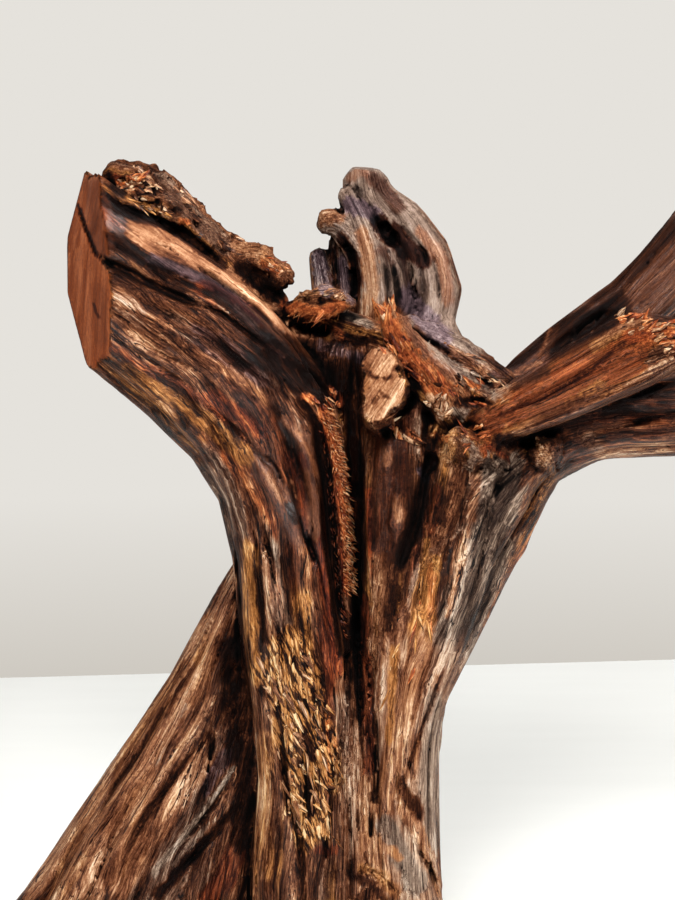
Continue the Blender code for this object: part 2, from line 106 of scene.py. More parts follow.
# Strands: guide, side (-1 the front, 1 the back), place across the guide at
# each end, radius at each end, and the share of the guide where it runs
STRANDS = {
    "shin edge": ("muzzle", -0.3, -0.95, -0.95, 17, 14, 0.0, 1.0),
    "shin column": ("muzzle", -1.0, -0.7, -0.74, 17, 11, 0.0, 1.0),
    "throat flute": ("muzzle", -0.97, -0.1, -0.45, 11, 9, 0.05, 1.0),
    "shin lobe": ("muzzle", -1.0, 0.45, -0.12, 10, 10, 0.0, 1.0),
    "cheek flute": ("muzzle", -0.96, 0.85, 0.2, 7, 10, 0.1, 1.0),
    "brow": ("muzzle", -1.0, 0.98, 0.55, 7, 12, 0.4, 1.0),
    "crest": ("muzzle", -0.5, 0.98, 0.93, 8, 11, 0.5, 1.0),
    "furrow wall": ("muzzle", -0.75, 0.98, 0.98, 8, 8, 0.1, 0.6),
    "back of the shin": ("muzzle", 0.8, -0.8, -0.75, 16, 14, 0.0, 1.0),
    "back of the cheek": ("muzzle", 1.0, -0.25, -0.15, 12, 11, 0.0, 1.0),
    "back of the brow": ("muzzle", 0.95, 0.25, 0.35, 11, 10, 0.05, 1.0),
    "back of the crest": ("muzzle", 0.8, 0.8, 0.8, 11, 11, 0.0, 1.0),
    "furrow lip": ("poll", -0.95, -1.0, -1.0, 6, 5, 0.08, 0.62),
    "pillar": ("poll", -1.0, -0.45, -0.62, 9, 15, 0.02, 0.6),
    "pillar flute": ("poll", -0.92, 0.1, -0.12, 8, 9, 0.12, 0.58),
    "honey flute": ("poll", -1.0, 0.45, 0.22, 8, 10, 0.1, 0.57),
    "second flute": ("poll", -0.9, 0.78, 0.58, 7, 10, 0.16, 0.6),
    "third flute": ("poll", -0.6, 0.95, 0.88, 7, 10, 0.22, 0.62),
    "flank": ("poll", 0.2, 1.0, 1.0, 13, 14, 0.0, 1.0),
    "limb top": ("poll", -0.4, -0.6, -0.9, 11, 10, 0.6, 1.0),
    "limb face": ("poll", -0.98, -0.1, -0.2, 10, 9, 0.55, 1.0),
    "limb face, lower": ("poll", -0.95, 0.5, 0.45, 10, 9, 0.55, 1.0),
    "limb underside": ("poll", -0.5, 0.95, 0.95, 10, 9, 0.55, 1.0),
    "back of the pillar": ("poll", 1.0, -0.6, -0.5, 12, 14, 0.0, 0.62),
    "back of the poll": ("poll", 0.95, -0.05, 0.1, 10, 11, 0.0, 1.0),
    "back of the honey flute": ("poll", 0.98, 0.45, 0.5, 10, 10, 0.0, 1.0),
    "back of the flank": ("poll", 0.6, 0.95, 0.92, 10, 11, 0.0, 0.9),
    "leg rim": ("leg", -0.1, 0.95, 0.97, 8, 15, 0.0, 1.0),
    "leg ridge": ("leg", -0.85, 0.6, 0.66, 6, 11, 0.1, 1.0),
    "leg flute": ("leg", -0.95, 0.2, 0.34, 6, 9, 0.15, 1.0),
    "leg middle": ("leg", -1.0, -0.05, 0.05, 6, 11, 0.15, 1.0),
    "leg inner flute": ("leg", -0.9, -0.35, -0.25, 6, 9, 0.25, 1.0),
    "leg inner ridge": ("leg", -1.0, -0.6, -0.55, 7, 11, 0.2, 1.0),
    "leg heel": ("leg", -0.7, -0.9, -0.88, 9, 13, 0.2, 1.0),
    "back of the leg": ("leg", 0.9, 0.6, 0.6, 9, 13, 0.0, 1.0),
    "back of the leg, middle": ("leg", 1.0, 0.05, 0.05, 9, 12, 0.0, 1.0),
    "back of the heel": ("leg", 0.95, -0.5, -0.5, 9, 13, 0.0, 1.0),
    "ear rim": ("ear", -0.3, 0.95, 0.8, 11, 8, 0.0, 0.97),
    "ear fold": ("ear", -1.0, 0.55, 0.5, 8, 6, 0.1, 1.0),
    "ear furl": ("ear", -0.7, 0.15, -0.2, 7, 6, 0.1, 1.0),
    "back of the ear": ("ear", 1.0, 0.5, 0.35, 9, 6, 0.0, 0.95),
    "back of the ear, middle": ("ear", 0.9, 0.05, -0.1, 9, 6, 0.0, 0.97),
    "back of the ear, inner": ("ear", 1.0, -0.4, -0.55, 9, 5, 0.0, 0.86),
    "neck top": ("neck", -0.3, -0.9, -0.9, 11, 9, 0.0, 1.0),
    "neck side": ("neck", -1.0, -0.35, 0.1, 10, 8, 0.0, 1.0),
    "neck side, lower": ("neck", -0.9, 0.3, 0.6, 10, 8, 0.1, 1.0),
    "neck underside": ("neck", -0.3, 0.9, 0.9, 11, 9, 0.0, 1.0),
    "back of the neck": ("neck", 1.0, -0.4, -0.4, 11, 8, 0.0, 1.0),
    "back of the neck, lower": ("neck", 0.9, 0.4, 0.4, 11, 8, 0.0, 1.0),
    "spur left": ("spur", 0.9, -0.7, -0.7, 9, 12, 0.0, 1.0),
    "spur middle": ("spur", 1.0, 0.0, 0.1, 9, 12, 0.0, 1.0),
    "spur right": ("spur", 0.8, 0.85, 0.85, 9, 12, 0.0, 1.0),
    "spur side": ("spur", -0.3, 1.0, 1.0, 9, 12, 0.2, 1.0),
}

# Short strands by themselves: x, y, z, radius
KNOTS = {
    "mane": ((-40, 12, 361, 8), (-60, 13, 376, 9), (-81, 14, 394, 11), (-94, 14, 404, 12),
             (-108, 13, 408, 10)),
    "mane, lower": ((-44, 4, 352, 9), (-64, 4, 373, 9), (-82, 4, 388, 10), (-100, 4, 398, 9),
                    (-112, 6, 403, 6)),
    "mane knob": ((-50, 9, 366, 8), (-40, 6, 368, 9), (-31, 4, 363, 8)),
    "knob root": ((-36, 7, 360, 7), (-33, 7, 348, 8), (-26, 6, 332, 10)),
    "sawn knot": ((28, 0, 300, 13), (24, -30, 307, 12), (21, -60, 313, 10)),
    "sawn knot, lower": ((24, 0, 290, 12), (20, -30, 297, 9), (17, -60, 302, 6.5)),
    "sawn knot, upper": ((26, 0, 308, 12), (22, -30, 317, 10), (19, -60, 325, 8)),
    "peg": ((-77, 6, 387, 2.4), (-78, -9, 389, 2.4)),
    "crotch rim": ((36, -8, 338, 6), (56, -12, 325, 10), (80, -16, 306, 11), (104, -16, 290, 10)),
    "crotch rim, lower": ((44, -16, 318, 9), (64, -20, 308, 11), (88, -22, 294, 10)),
    "splintered horn": ((58, -24, 298, 12), (46, -27, 314, 11), (36, -28, 326, 9), (28, -28, 337, 7),
                        (23, -27, 347, 2)),
    "pale stub": ((34, -4, 326, 9), (0, 0, 338, 8)),
    "torn shell": ((-22, -4, 344, 6), (-13, -9, 348, 8), (-3, -9, 349, 7), (6, -9, 348, 3)),
    "torn shell root": ((-12, 8, 316, 15), (-10, 4, 336, 9)),
    "pillar head": ((24, -20, 180, 12), (29, -23, 225, 17), (33, -20, 268, 20), (34, -12, 300, 17)),
    "column under the ring": ((40, -24, 185, 10), (49, -27, 230, 12), (57, -26, 262, 13), (60, -22, 284, 10)),
    "crotch": ((30, 6, 190, 24), (40, 6, 250, 32), (50, 8, 288, 28)),
    "ringed knot": ((62, -20, 275, 12), (60, -36, 283, 8), (58, -42, 286, 6)),
    "rough knot": ((74, -20, 275, 12), (71, -36, 280, 9)),
    "flank knot": ((100, -8, 275, 12), (100, -30, 278, 8)),
    "torn limb, upper": ((62, -28, 288, 6), (90, -38, 308, 9), (135, -44, 334, 10), (156, -45, 337, 7)),
    "torn limb, lower": ((62, -28, 282, 6), (90, -38, 297, 9), (138, -43, 319, 11), (158, -44, 327, 8)),
    "ear ridge": ((17, 27, 322, 9), (20, 31, 344, 10), (18, 32, 366, 9), (13, 35, 384, 8), (6, 40, 400, 6)),
    "ear prong": ((12, 34, 372, 8), (5, 35, 383, 7), (-1, 36, 387, 6.5), (-5, 36, 387, 6)),
    "furrow fill": ((9, -16, 176, 6), (10, -24, 140, 9), (11, -27, 110, 13), (12, -27, 70, 15),
                    (12, -24, 30, 16)),
    "furrow fill, left": ((1, -20, 150, 7), (2, -27, 112, 11), (1, -29, 70, 13), (0, -28, 30, 15)),
    "ear spike": ((4, 30, 312, 9), (-6, 40, 348, 7), (-10, 42, 369, 5)),
    "ear spike, behind": ((8, 36, 320, 9), (2, 44, 366, 7), (3, 44, 386, 5)),
    "knee": ((30, -22, 112, 5), (33, -26, 84, 11), (38, -27, 40, 16), (44, -28, 0, 19)),
    "knee, inner": ((22, -16, 98, 5), (18, -25, 72, 11), (14, -32, 46, 15), (12, -35, 20, 17),
                    (12, -36, 0, 18)),
    "web of the leg": ((-24, 16, 205, 12), (-42, 14, 140, 22), (-60, 12, 70, 27), (-72, 10, 0, 30)),
    "hip": ((-30, 24, 220, 16), (-30, 30, 120, 22), (-40, 34, 40, 26), (-48, 36, 0, 28)),
    "foot fill": ((14, 6, 60, 26), (14, 6, 30, 32), (14, 8, 0, 34)),
}

# Flat cuts: a point, the outward direction, the reach, and the paint of the cut face
CUTS = {
    "muzzle face": ((-121.5, -7, 362), (-0.885, -0.465, 0.0), 80, "sawn"),
    "muzzle face, upper": ((-119.5, -7, 395), (-0.885, -0.42, 0.16), 80, "sawn"),
    "muzzle face, left": ((-138, 0, 362), (-1.0, 0.06, 0.02), 70, "sawn, dark"),
    "muzzle face, brow": ((-129, 0, 405), (-0.945, 0.05, 0.33), 60, "sawn, dark"),
    "muzzle face, chin": ((-131.5, 0, 335), (-0.93, 0.05, -0.36), 60, "sawn, dark"),
    "torn limb face": ((120, -48, 316), (-0.30, -0.90, 0.30), 48, "torn wood"),
    "lower limb end": ((206, 0, 298), (0.97, -0.2, -0.1), 70, "sawn, old"),
    "upper limb end": ((205, 57, 408), (0.62, 0.1, 0.78), 70, "sawn, old"),
    "sawn knot face": ((24, -53, 308), (-0.15, -0.95, 0.25), 34, "sawn, pale"),
    "ear top": ((13, 46, 415), (0.08, -0.1, 0.99), 30, "weathered"),
    "ear top, left": ((4, 46, 411), (-0.72, -0.1, 0.68), 18, "weathered"),
    "ear top, right": ((25, 46, 411), (0.65, -0.1, 0.75), 18, "weathered"),
    "foot": ((0, 30, 0), (0.0, 0.0, -1.0), 260, "sawn, old"),
}

# Where the wood is broken or barky and its surface is lumpy, and by how much
LUMPY = {"mane": 1.0, "mane, lower": 0.9, "mane knob": 1.0, "knob root": 0.8, "ear prong": 0.6,
         "ear ridge": 0.1, "torn shell": 0.8, "torn shell root": 0.6, "splintered horn": 0.35,
         "crotch rim, lower": 0.9, "crotch rim": 0.5, "sawn knot, lower": 0.4, "sawn knot, upper": 0.4,
         "sawn knot": 0.3, "ringed knot": 0.6, "rough knot": 1.0, "pale stub": 0.4,
         "column under the ring": 0.3, "pillar head": 0.3, "knee, inner": 0.3}

# The skin
CELL = 1.2                    # grid cell of the fine skin
BLEND = 1.3                   # how softly neighbouring strands run together
TUBE_MARGIN = 7.0             # how far round a tube the grid is filled
CARVE_BAND = 6.0              # how far from the surface carving reaches
CARVE_LIMITS = (-6.0, 4.0)    # the deepest groove and the highest ridge
CARVE_REACH = 1.6             # widths round a line where it is carved
PAINT_REACH = 2.0             # widths round a line where it is painted
DRIFT = 4.0                   # how far the furrows wander across the grain
LUMP_HEIGHT = 5.5
CUT_NEAR = 0.7                # how near its plane a point lies on a cut
CUT_FACING = 0.8
CUT_REACH = 1.4               # of the cut's reach
AXIS_DEPTH = 1.5              # how far under a face its axis is read
FAR_AWAY = 1e3                # distance of a cell that no tube has reached
FRONT_THINNING = 0.55         # share of the thinning that the front takes
CREVICE_NEAR = 2.5            # where a crevice looks for wood beside it
CREVICE_FAR = 8.0
RIDGE_DEEP = 3.0              # where a ridge looks for air under it
GRID_LOW = (-200.0, -70.0, -6.0)
GRID_HIGH = (236.0, 126.0, 440.0)
SKIN_TRIANGLES = 192000

# The front view
# Cracks and colours that the front shows are laid out on it in squares of
# half a unit, counted from the upper left corner: right, then down.
VIEW_DISTANCE = 900.0
VIEW_TILT = math.radians(8.0)
VIEW_HEIGHT = 275.0
VIEW_SQUARES = 1800.0         # squares that a unit slope covers
VIEW_CENTRE = (337.5, 450.0)
VIEW_AHEAD = (0.0, math.cos(VIEW_TILT), -math.sin(VIEW_TILT))
VIEW_UP = (0.0, math.sin(VIEW_TILT), math.cos(VIEW_TILT))
VIEW_EYE = (0.0, -VIEW_DISTANCE * math.cos(VIEW_TILT), VIEW_HEIGHT + VIEW_DISTANCE * math.sin(VIEW_TILT))


# Strands
def spline_point(points, share):
    """The point at a share of the length of a smooth curve through points."""
    lengths = [0.0]
    for a, b in zip(points[:-1], points[1:]):
        lengths.append(lengths[-1] + math.dist(a[:3], b[:3]))
    along = min(max(share, 0.0), 1.0) * lengths[-1]
    i = 0
    while i < len(points) - 2 and lengths[i + 1] < along:
        i += 1
    t = (along - lengths[i]) / (lengths[i + 1] - lengths[i])
    b, c = points[i], points[i + 1]
    a = points[i - 1] if i > 0 else tuple(2 * p - q for p, q in zip(b, c))
    d = points[i + 2] if i + 2 < len(points) else tuple(2 * q - p for p, q in zip(b, c))
    return [0.5 * (2 * q + (r - p) * t + (2 * p - 5 * q + 4 * r - s) * t * t
                   + (3 * q - p - 3 * r + s) * t ** 3) for p, q, r, s in zip(a, b, c, d)]


def section(guide, share):
    """Centre, direction across, half width and half depth of a guide."""
    here = spline_point(guide, share)
    ahead = spline_point(guide, share + 0.02)
    behind = spline_point(guide, share - 0.02)
    run_x, run_z = ahead[0] - behind[0], ahead[2] - behind[2]
    across = Vector((run_z, 0.0, -run_x)).normalized()
    return Vector(here[:3]), across, here[3], here[4]


def strand_stations(strand, number):
    """Stations (x, y, z, radius) of one strand beside its guide."""
    name, side, place_0, place_1, radius_0, radius_1, start, stop = strand
    phase = number * 2.4
    stations = []
    for k in range(STEPS + 1):
        t = k / STEPS
        centre, across, half_width, half_depth = section(GUIDES[name], start + (stop - start) * t)
        place = place_0 + (place_1 - place_0) * t + WANDER * math.sin(6.0 * t + phase)
        radius = (radius_0 + (radius_1 - radius_0) * t) * (1.0 + SWELL * math.sin(9.0 * t + 2.0 * phase))
        place = min(max(place, -1.0), 1.0)
        depth = side * math.sqrt(1.0 - 0.75 * place * place) * max(half_depth - radius, 0.0)
        point = centre + across * (place * max(half_width - radius, 0.0)) + Vector((0.0, depth, 0.0))
        stations.append((point.x, point.y, point.z, radius))
    return stations


def core_stations(name, place):
    """Stations of the solid wood under the strands of a guide."""
    stations = []
    for k in range(STEPS + 1):
        centre, across, half_width, half_depth = section(GUIDES[name], k / STEPS)
        radius = CORE_FILL * min(half_width, half_depth)
        point = centre + across * (place * (half_width - radius) * CORE_SPREAD)
        stations.append((point.x, point.y, point.z, radius))
    return stations


def knot_stations(points):
    """Stations along a smooth curve through a knot's own points."""
    return [spline_point(points, k / STEPS) for k in range(STEPS + 1)]


def run_below_foot(stations):
    """The same stations, carried straight on below the foot cut from an end that reaches it."""
    rises = stations[0][2] < stations[-1][2]
    first, second = stations[:2] if rises else stations[:-3:-1]
    if first[2] > FOOT_REACHED:
        return list(stations)
    run = (Vector(first[:3]) - Vector(second[:3])).normalized() * UNDERCUT
    end = (first[0] + run.x, first[1] + run.y, first[2] + run.z, first[3])
    return [end, *stations] if rises else [*stations, end]


def grain_axes():
    """The line that each part has its grain along: name, and samples of x, y, z and two half sizes."""
    axes = []
    for name, guide in GUIDES.items():
        axes.append((name, [spline_point(guide, k / GUIDE_SAMPLES) for k in range(GUIDE_SAMPLES + 1)]))
    for name, points in KNOTS.items():
        samples = [spline_point(points, k / KNOT_SAMPLES) for k in range(KNOT_SAMPLES + 1)]
        axes.append((name, [(*spot, spot[3]) for spot in samples]))
    return axes


def all_strands():
    """Every tube of the wood, with the number of the grain axis that it follows."""
    axis_of = {name: i for i, (name, _) in enumerate(grain_axes())}
    tubes = []
    for number, strand in enumerate(STRANDS.values()):
        tubes.append((axis_of[strand[0]], run_below_foot(strand_stations(strand, number))))
    for name, places in CORE_PLACES.items():
        for place in places:
            tubes.append((axis_of[name], run_below_foot(core_stations(name, place))))
    for name, points in KNOTS.items():
        tubes.append((axis_of[name], run_below_foot(knot_stations(points))))
    return tubes


# Noise
OCTAVE_SHIFT = (7.3, 3.1, 5.7)


def cell_corners(x, y, z):
    """The eight corners of a grid cell, each with its weight at a place inside it."""
    for i, u in enumerate((1 - x, x)):
        for j, v in enumerate((1 - y, y)):
            for k, w in enumerate((1 - z, z)):
                yield i, j, k, u * v * w


class Noise:
    """Smooth noise from -1 to 1 on a repeating lattice of seeded numbers."""

    SIZE = 32

    def __init__(self, seed):
        self.values = np.random.default_rng(seed).random((self.SIZE,) * 3, dtype=np.float32) * 2 - 1

    def __call__(self, x, y, z):
        cells, parts = [], []
        for value in (x, y, z):
            low = np.floor(value)
            part = (value - low).astype(np.float32)
            cells.append((low.astype(np.int32) % self.SIZE, (low.astype(np.int32) + 1) % self.SIZE))
            parts.append(part * part * (3 - 2 * part))
        total = 0.0
        for i, j, k, weight in cell_corners(*parts):
            total = total + weight * self.values[cells[0][i], cells[1][j], cells[2][k]]
        return total

    def layers(self, place, wide, long, count, keep=0.5):
        """Several octaves over x, y and z, each finer one with keep times the last one's strength."""
        x, y, z = place
        total, strength, whole = 0.0, 1.0, 0.0
        for octave in range(count):
            scale = 2.0 ** octave
            spot = [value * scale + shift * octave
                    for value, shift in zip((x / wide, y / wide, z / long), OCTAVE_SHIFT)]
            total = total + strength * self(*spot)
            whole += strength
            strength *= keep
        return total / whole


def smooth_step(value, low, high):
    """0 below low, 1 above high and smooth between."""
    t = np.clip((value - low) / (high - low), 0.0, 1.0)
    return t * t * (3 - 2 * t)


# Field
class Field:
    """Signed distance to the wood's surface on a grid, and the grain axis nearest to each cell."""

    def __init__(self, cell):
        self.cell = cell
        self.low = np.array(GRID_LOW)
        self.count = np.ceil((np.array(GRID_HIGH) - self.low) / cell).astype(int) + 1
        self.lines = [(self.low[i] + cell * np.arange(self.count[i])).astype(np.float32) for i in range(3)]
        self.nearest = np.full(self.count, FAR_AWAY, np.float32)
        self.axis = np.zeros(self.count, np.int8)
        self.heap = np.zeros(self.count, np.float32)

    def box(self, low, high):
        """Slices of the cells between two corners."""
        first = np.clip(np.floor((low - self.low) / self.cell).astype(int), 0, self.count)
        last = np.clip(np.ceil((high - self.low) / self.cell).astype(int) + 1, 0, self.count)
        return tuple(slice(a, b) for a, b in zip(first, last))

    def around(self, path):
        """Slices of the cells near the stations of a path."""
        centres, radii = path[:, :3], path[:, 3:]
        return self.box((centres - radii).min(0) - TUBE_MARGIN, (centres + radii).max(0) + TUBE_MARGIN)

    def steps_from(self, part, point):
        """How far the cells of a box lie from a point along x, y and z."""
        dx, dy, dz = (line[cells] - np.float32(p) for line, cells, p in zip(self.lines, part, point))
        return dx[:, None, None], dy[None, :, None], dz[None, None, :]

    def add_tube(self, stations, axis):
        """Heap one tapered tube onto the field."""
        path = np.array(stations)
        whole = self.around(path)
        shape = [s.stop - s.start for s in whole]
        if min(shape) <= 0:
            return
        tube = np.full(shape, FAR_AWAY, np.float32)
        for i in range(len(path) - 1):
            a, b = path[i:i + 2]
            part = self.around(path[i:i + 2])
            if min(s.stop - s.start for s in part) <= 0:
                continue
            run = (b - a)[:3].astype(np.float32)
            dx, dy, dz = self.steps_from(part, a[:3])
            t = np.clip((dx * run[0] + dy * run[1] + dz * run[2]) / max(float(run @ run), 1e-6), 0, 1)
            away = np.sqrt((dx - t * run[0]) ** 2 + (dy - t * run[1]) ** 2 + (dz - t * run[2]) ** 2)
            away -= a[3] + t * (b[3] - a[3])
            inner = tuple(slice(s.start - o.start, s.stop - o.start) for s, o in zip(part, whole))
            tube[inner] = np.minimum(tube[inner], away)
        closer = tube < self.nearest[whole]
        self.axis[whole][closer] = axis
        self.nearest[whole][closer] = tube[closer]
        self.heap[whole] += np.exp(np.clip(-tube / BLEND, -30, 30))

    def settle(self):
        """Turn the heaped strands into one distance."""
        self.distance = -BLEND * np.log(np.maximum(self.heap, 1e-13))
        del self.heap, self.nearest

    def cut(self, point, outward, reach):
        """Take away what lies outside a flat saw cut, near its point."""
        outward = np.array(outward) / np.linalg.norm(outward)
        part = self.box(np.array(point) - reach, np.array(point) + reach)
        dx, dy, dz = self.steps_from(part, point)
        away = dx * outward[0] + dy * outward[1] + dz * outward[2]
        self.distance[part] = np.maximum(self.distance[part], away.astype(np.float32))

    def band(self, width):
        """Cells within width of the surface: their indices and their points."""
        index = np.nonzero(np.abs(self.distance) < width)
        points = np.stack([self.lines[i][index[i]] for i in range(3)], axis=1)
        return index, points

    def skin(self):
        """The surface as points and four-sided faces."""
        far = 3.0 * self.cell
        grid = openvdb.FloatGrid(far)
        grid.copyFromArray(np.clip(self.distance, -far, far).astype(np.float32))
        points, _, quads = grid.convertToPolygons(isovalue=0.0, adaptivity=0.0)
        return points * self.cell + self.low, quads


# Grain
class Grain:
    """Where points lie in the grain: across, deep and along, measured on their axis."""

    REFERENCE = 30.0          # half width that every axis is stretched to

    def __init__(self):
        self.axes = []
        offset = 0.0
        for _, samples in grain_axes():
            samples = np.array(samples)
            points = samples[:, :3]
            runs = np.gradient(points, axis=0)
            runs /= np.linalg.norm(runs, axis=1)[:, None]
            across = np.stack([runs[:, 2], np.zeros(len(runs)), -runs[:, 0]], axis=1)
            if abs(runs[:, 1]).mean() > 0.8:
                across = np.tile((1.0, 0.0, 0.0), (len(runs), 1))
            across /= np.linalg.norm(across, axis=1)[:, None]
            deep = np.cross(runs, across)
            along = np.concatenate([[0.0], np.cumsum(np.linalg.norm(np.diff(points, axis=0), axis=1))])
            self.axes.append((points, runs, across, -deep, samples[:, 3], samples[:, 4], along + offset))
            offset += AXIS_GAP

    def at(self, points, axis):
        """Grain coordinates (N, 3) of points whose axis numbers are given."""
        result = np.zeros((len(points), 3), np.float32)
        for number in np.unique(axis):
            mine = np.nonzero(axis == number)[0]
            centre, runs, across, deep, half_width, half_depth, along = self.axes[number]
            here = points[mine]
            nearest = np.zeros(len(here), int)
            best = np.full(len(here), 1e18)
            for i, c in enumerate(centre):
                gap = ((here - c) ** 2).sum(1)
                closer = gap < best
                nearest[closer] = i
                best[closer] = gap[closer]
            away = here - centre[nearest]
            slip = (away * runs[nearest]).sum(1)
            result[mine, 0] = (away * across[nearest]).sum(1) / half_width[nearest] * self.REFERENCE
            result[mine, 1] = (away * deep[nearest]).sum(1) / half_depth[nearest] * self.REFERENCE
            result[mine, 2] = along[nearest] + slip
        return result


def on_reference(grain):
    """The same places moved radially onto the axis's reference cylinder."""
    radius = np.maximum(np.hypot(grain[:, 0], grain[:, 1]), 1.0)
    return (grain[:, 0] / radius * Grain.REFERENCE, grain[:, 1] / radius * Grain.REFERENCE, grain[:, 2])


def front_view(points):
    """Where points are seen on the front view, in its squares."""
    away = points - np.array(VIEW_EYE)
    depth = away @ np.array(VIEW_AHEAD)
    return np.stack([VIEW_CENTRE[0] + VIEW_SQUARES * away[:, 0] / depth,
                     VIEW_CENTRE[1] - VIEW_SQUARES * (away @ np.array(VIEW_UP)) / depth], axis=1)


def stroke_distance(seen, line):
    """Distance on the front view from points to a drawn line, and the share along it."""
    line = np.array(line, float)
    lengths = np.concatenate([[0.0], np.cumsum(np.linalg.norm(np.diff(line, axis=0), axis=1))])
    best = np.full(len(seen), 1e9)
    share = np.zeros(len(seen))
    for a, b, start, stop in zip(line[:-1], line[1:], lengths[:-1], lengths[1:]):
        run = b - a
        t = np.clip(((seen - a) @ run) / max(run @ run, 1e-9), 0, 1)
        gap = np.linalg.norm(seen - a - t[:, None] * run, axis=1)
        closer = gap < best
        best[closer] = gap[closer]
        share[closer] = ((start + t * (stop - start)) / lengths[-1])[closer]
    return best, share


def near_stroke(seen, facing, line, reach):
    """Which points face the view within reach of a drawn line, with their distance and share."""
    low, high = np.min(line, axis=0) - reach, np.max(line, axis=0) + reach
    near = np.nonzero(((seen > low) & (seen < high)).all(axis=1) & (facing > 0))[0]
    gap, share = stroke_distance(seen[near], line)
    return near, gap, share


# Lines on the front view that are used twice
FACE_CRACK = ((78, 205), (86, 228), (96, 254), (104, 262))
MUZZLE_CRACK = ((195, 326), (220, 345), (245, 366), (270, 384), (292, 400))
TRUNK_CRACK = ((440, 676), (428, 712), (414, 752), (403, 782))
LEG_CRACK = ((238, 806), (215, 832), (188, 862), (158, 894))
LIMB_CRACK = ((500, 415), (540, 400), (590, 372), (612, 352))
KNOT_GAP = ((424, 408), (430, 425), (424, 440))
EAR_MIDDLE = ((375, 190), (395, 240), (410, 290), (440, 340))
KNOT_EDGE = ((366, 365), (364, 390))
LIMB_MIDDLE = ((540, 350), (570, 330), (620, 300), (670, 250))
TRUNK_FOOT = ((426, 690), (412, 770), (404, 830), (424, 890))
LEG_MIDDLE = ((190, 640), (120, 770), (60, 880))
PILLAR_MIDDLE = ((392, 440), (392, 500), (390, 545))

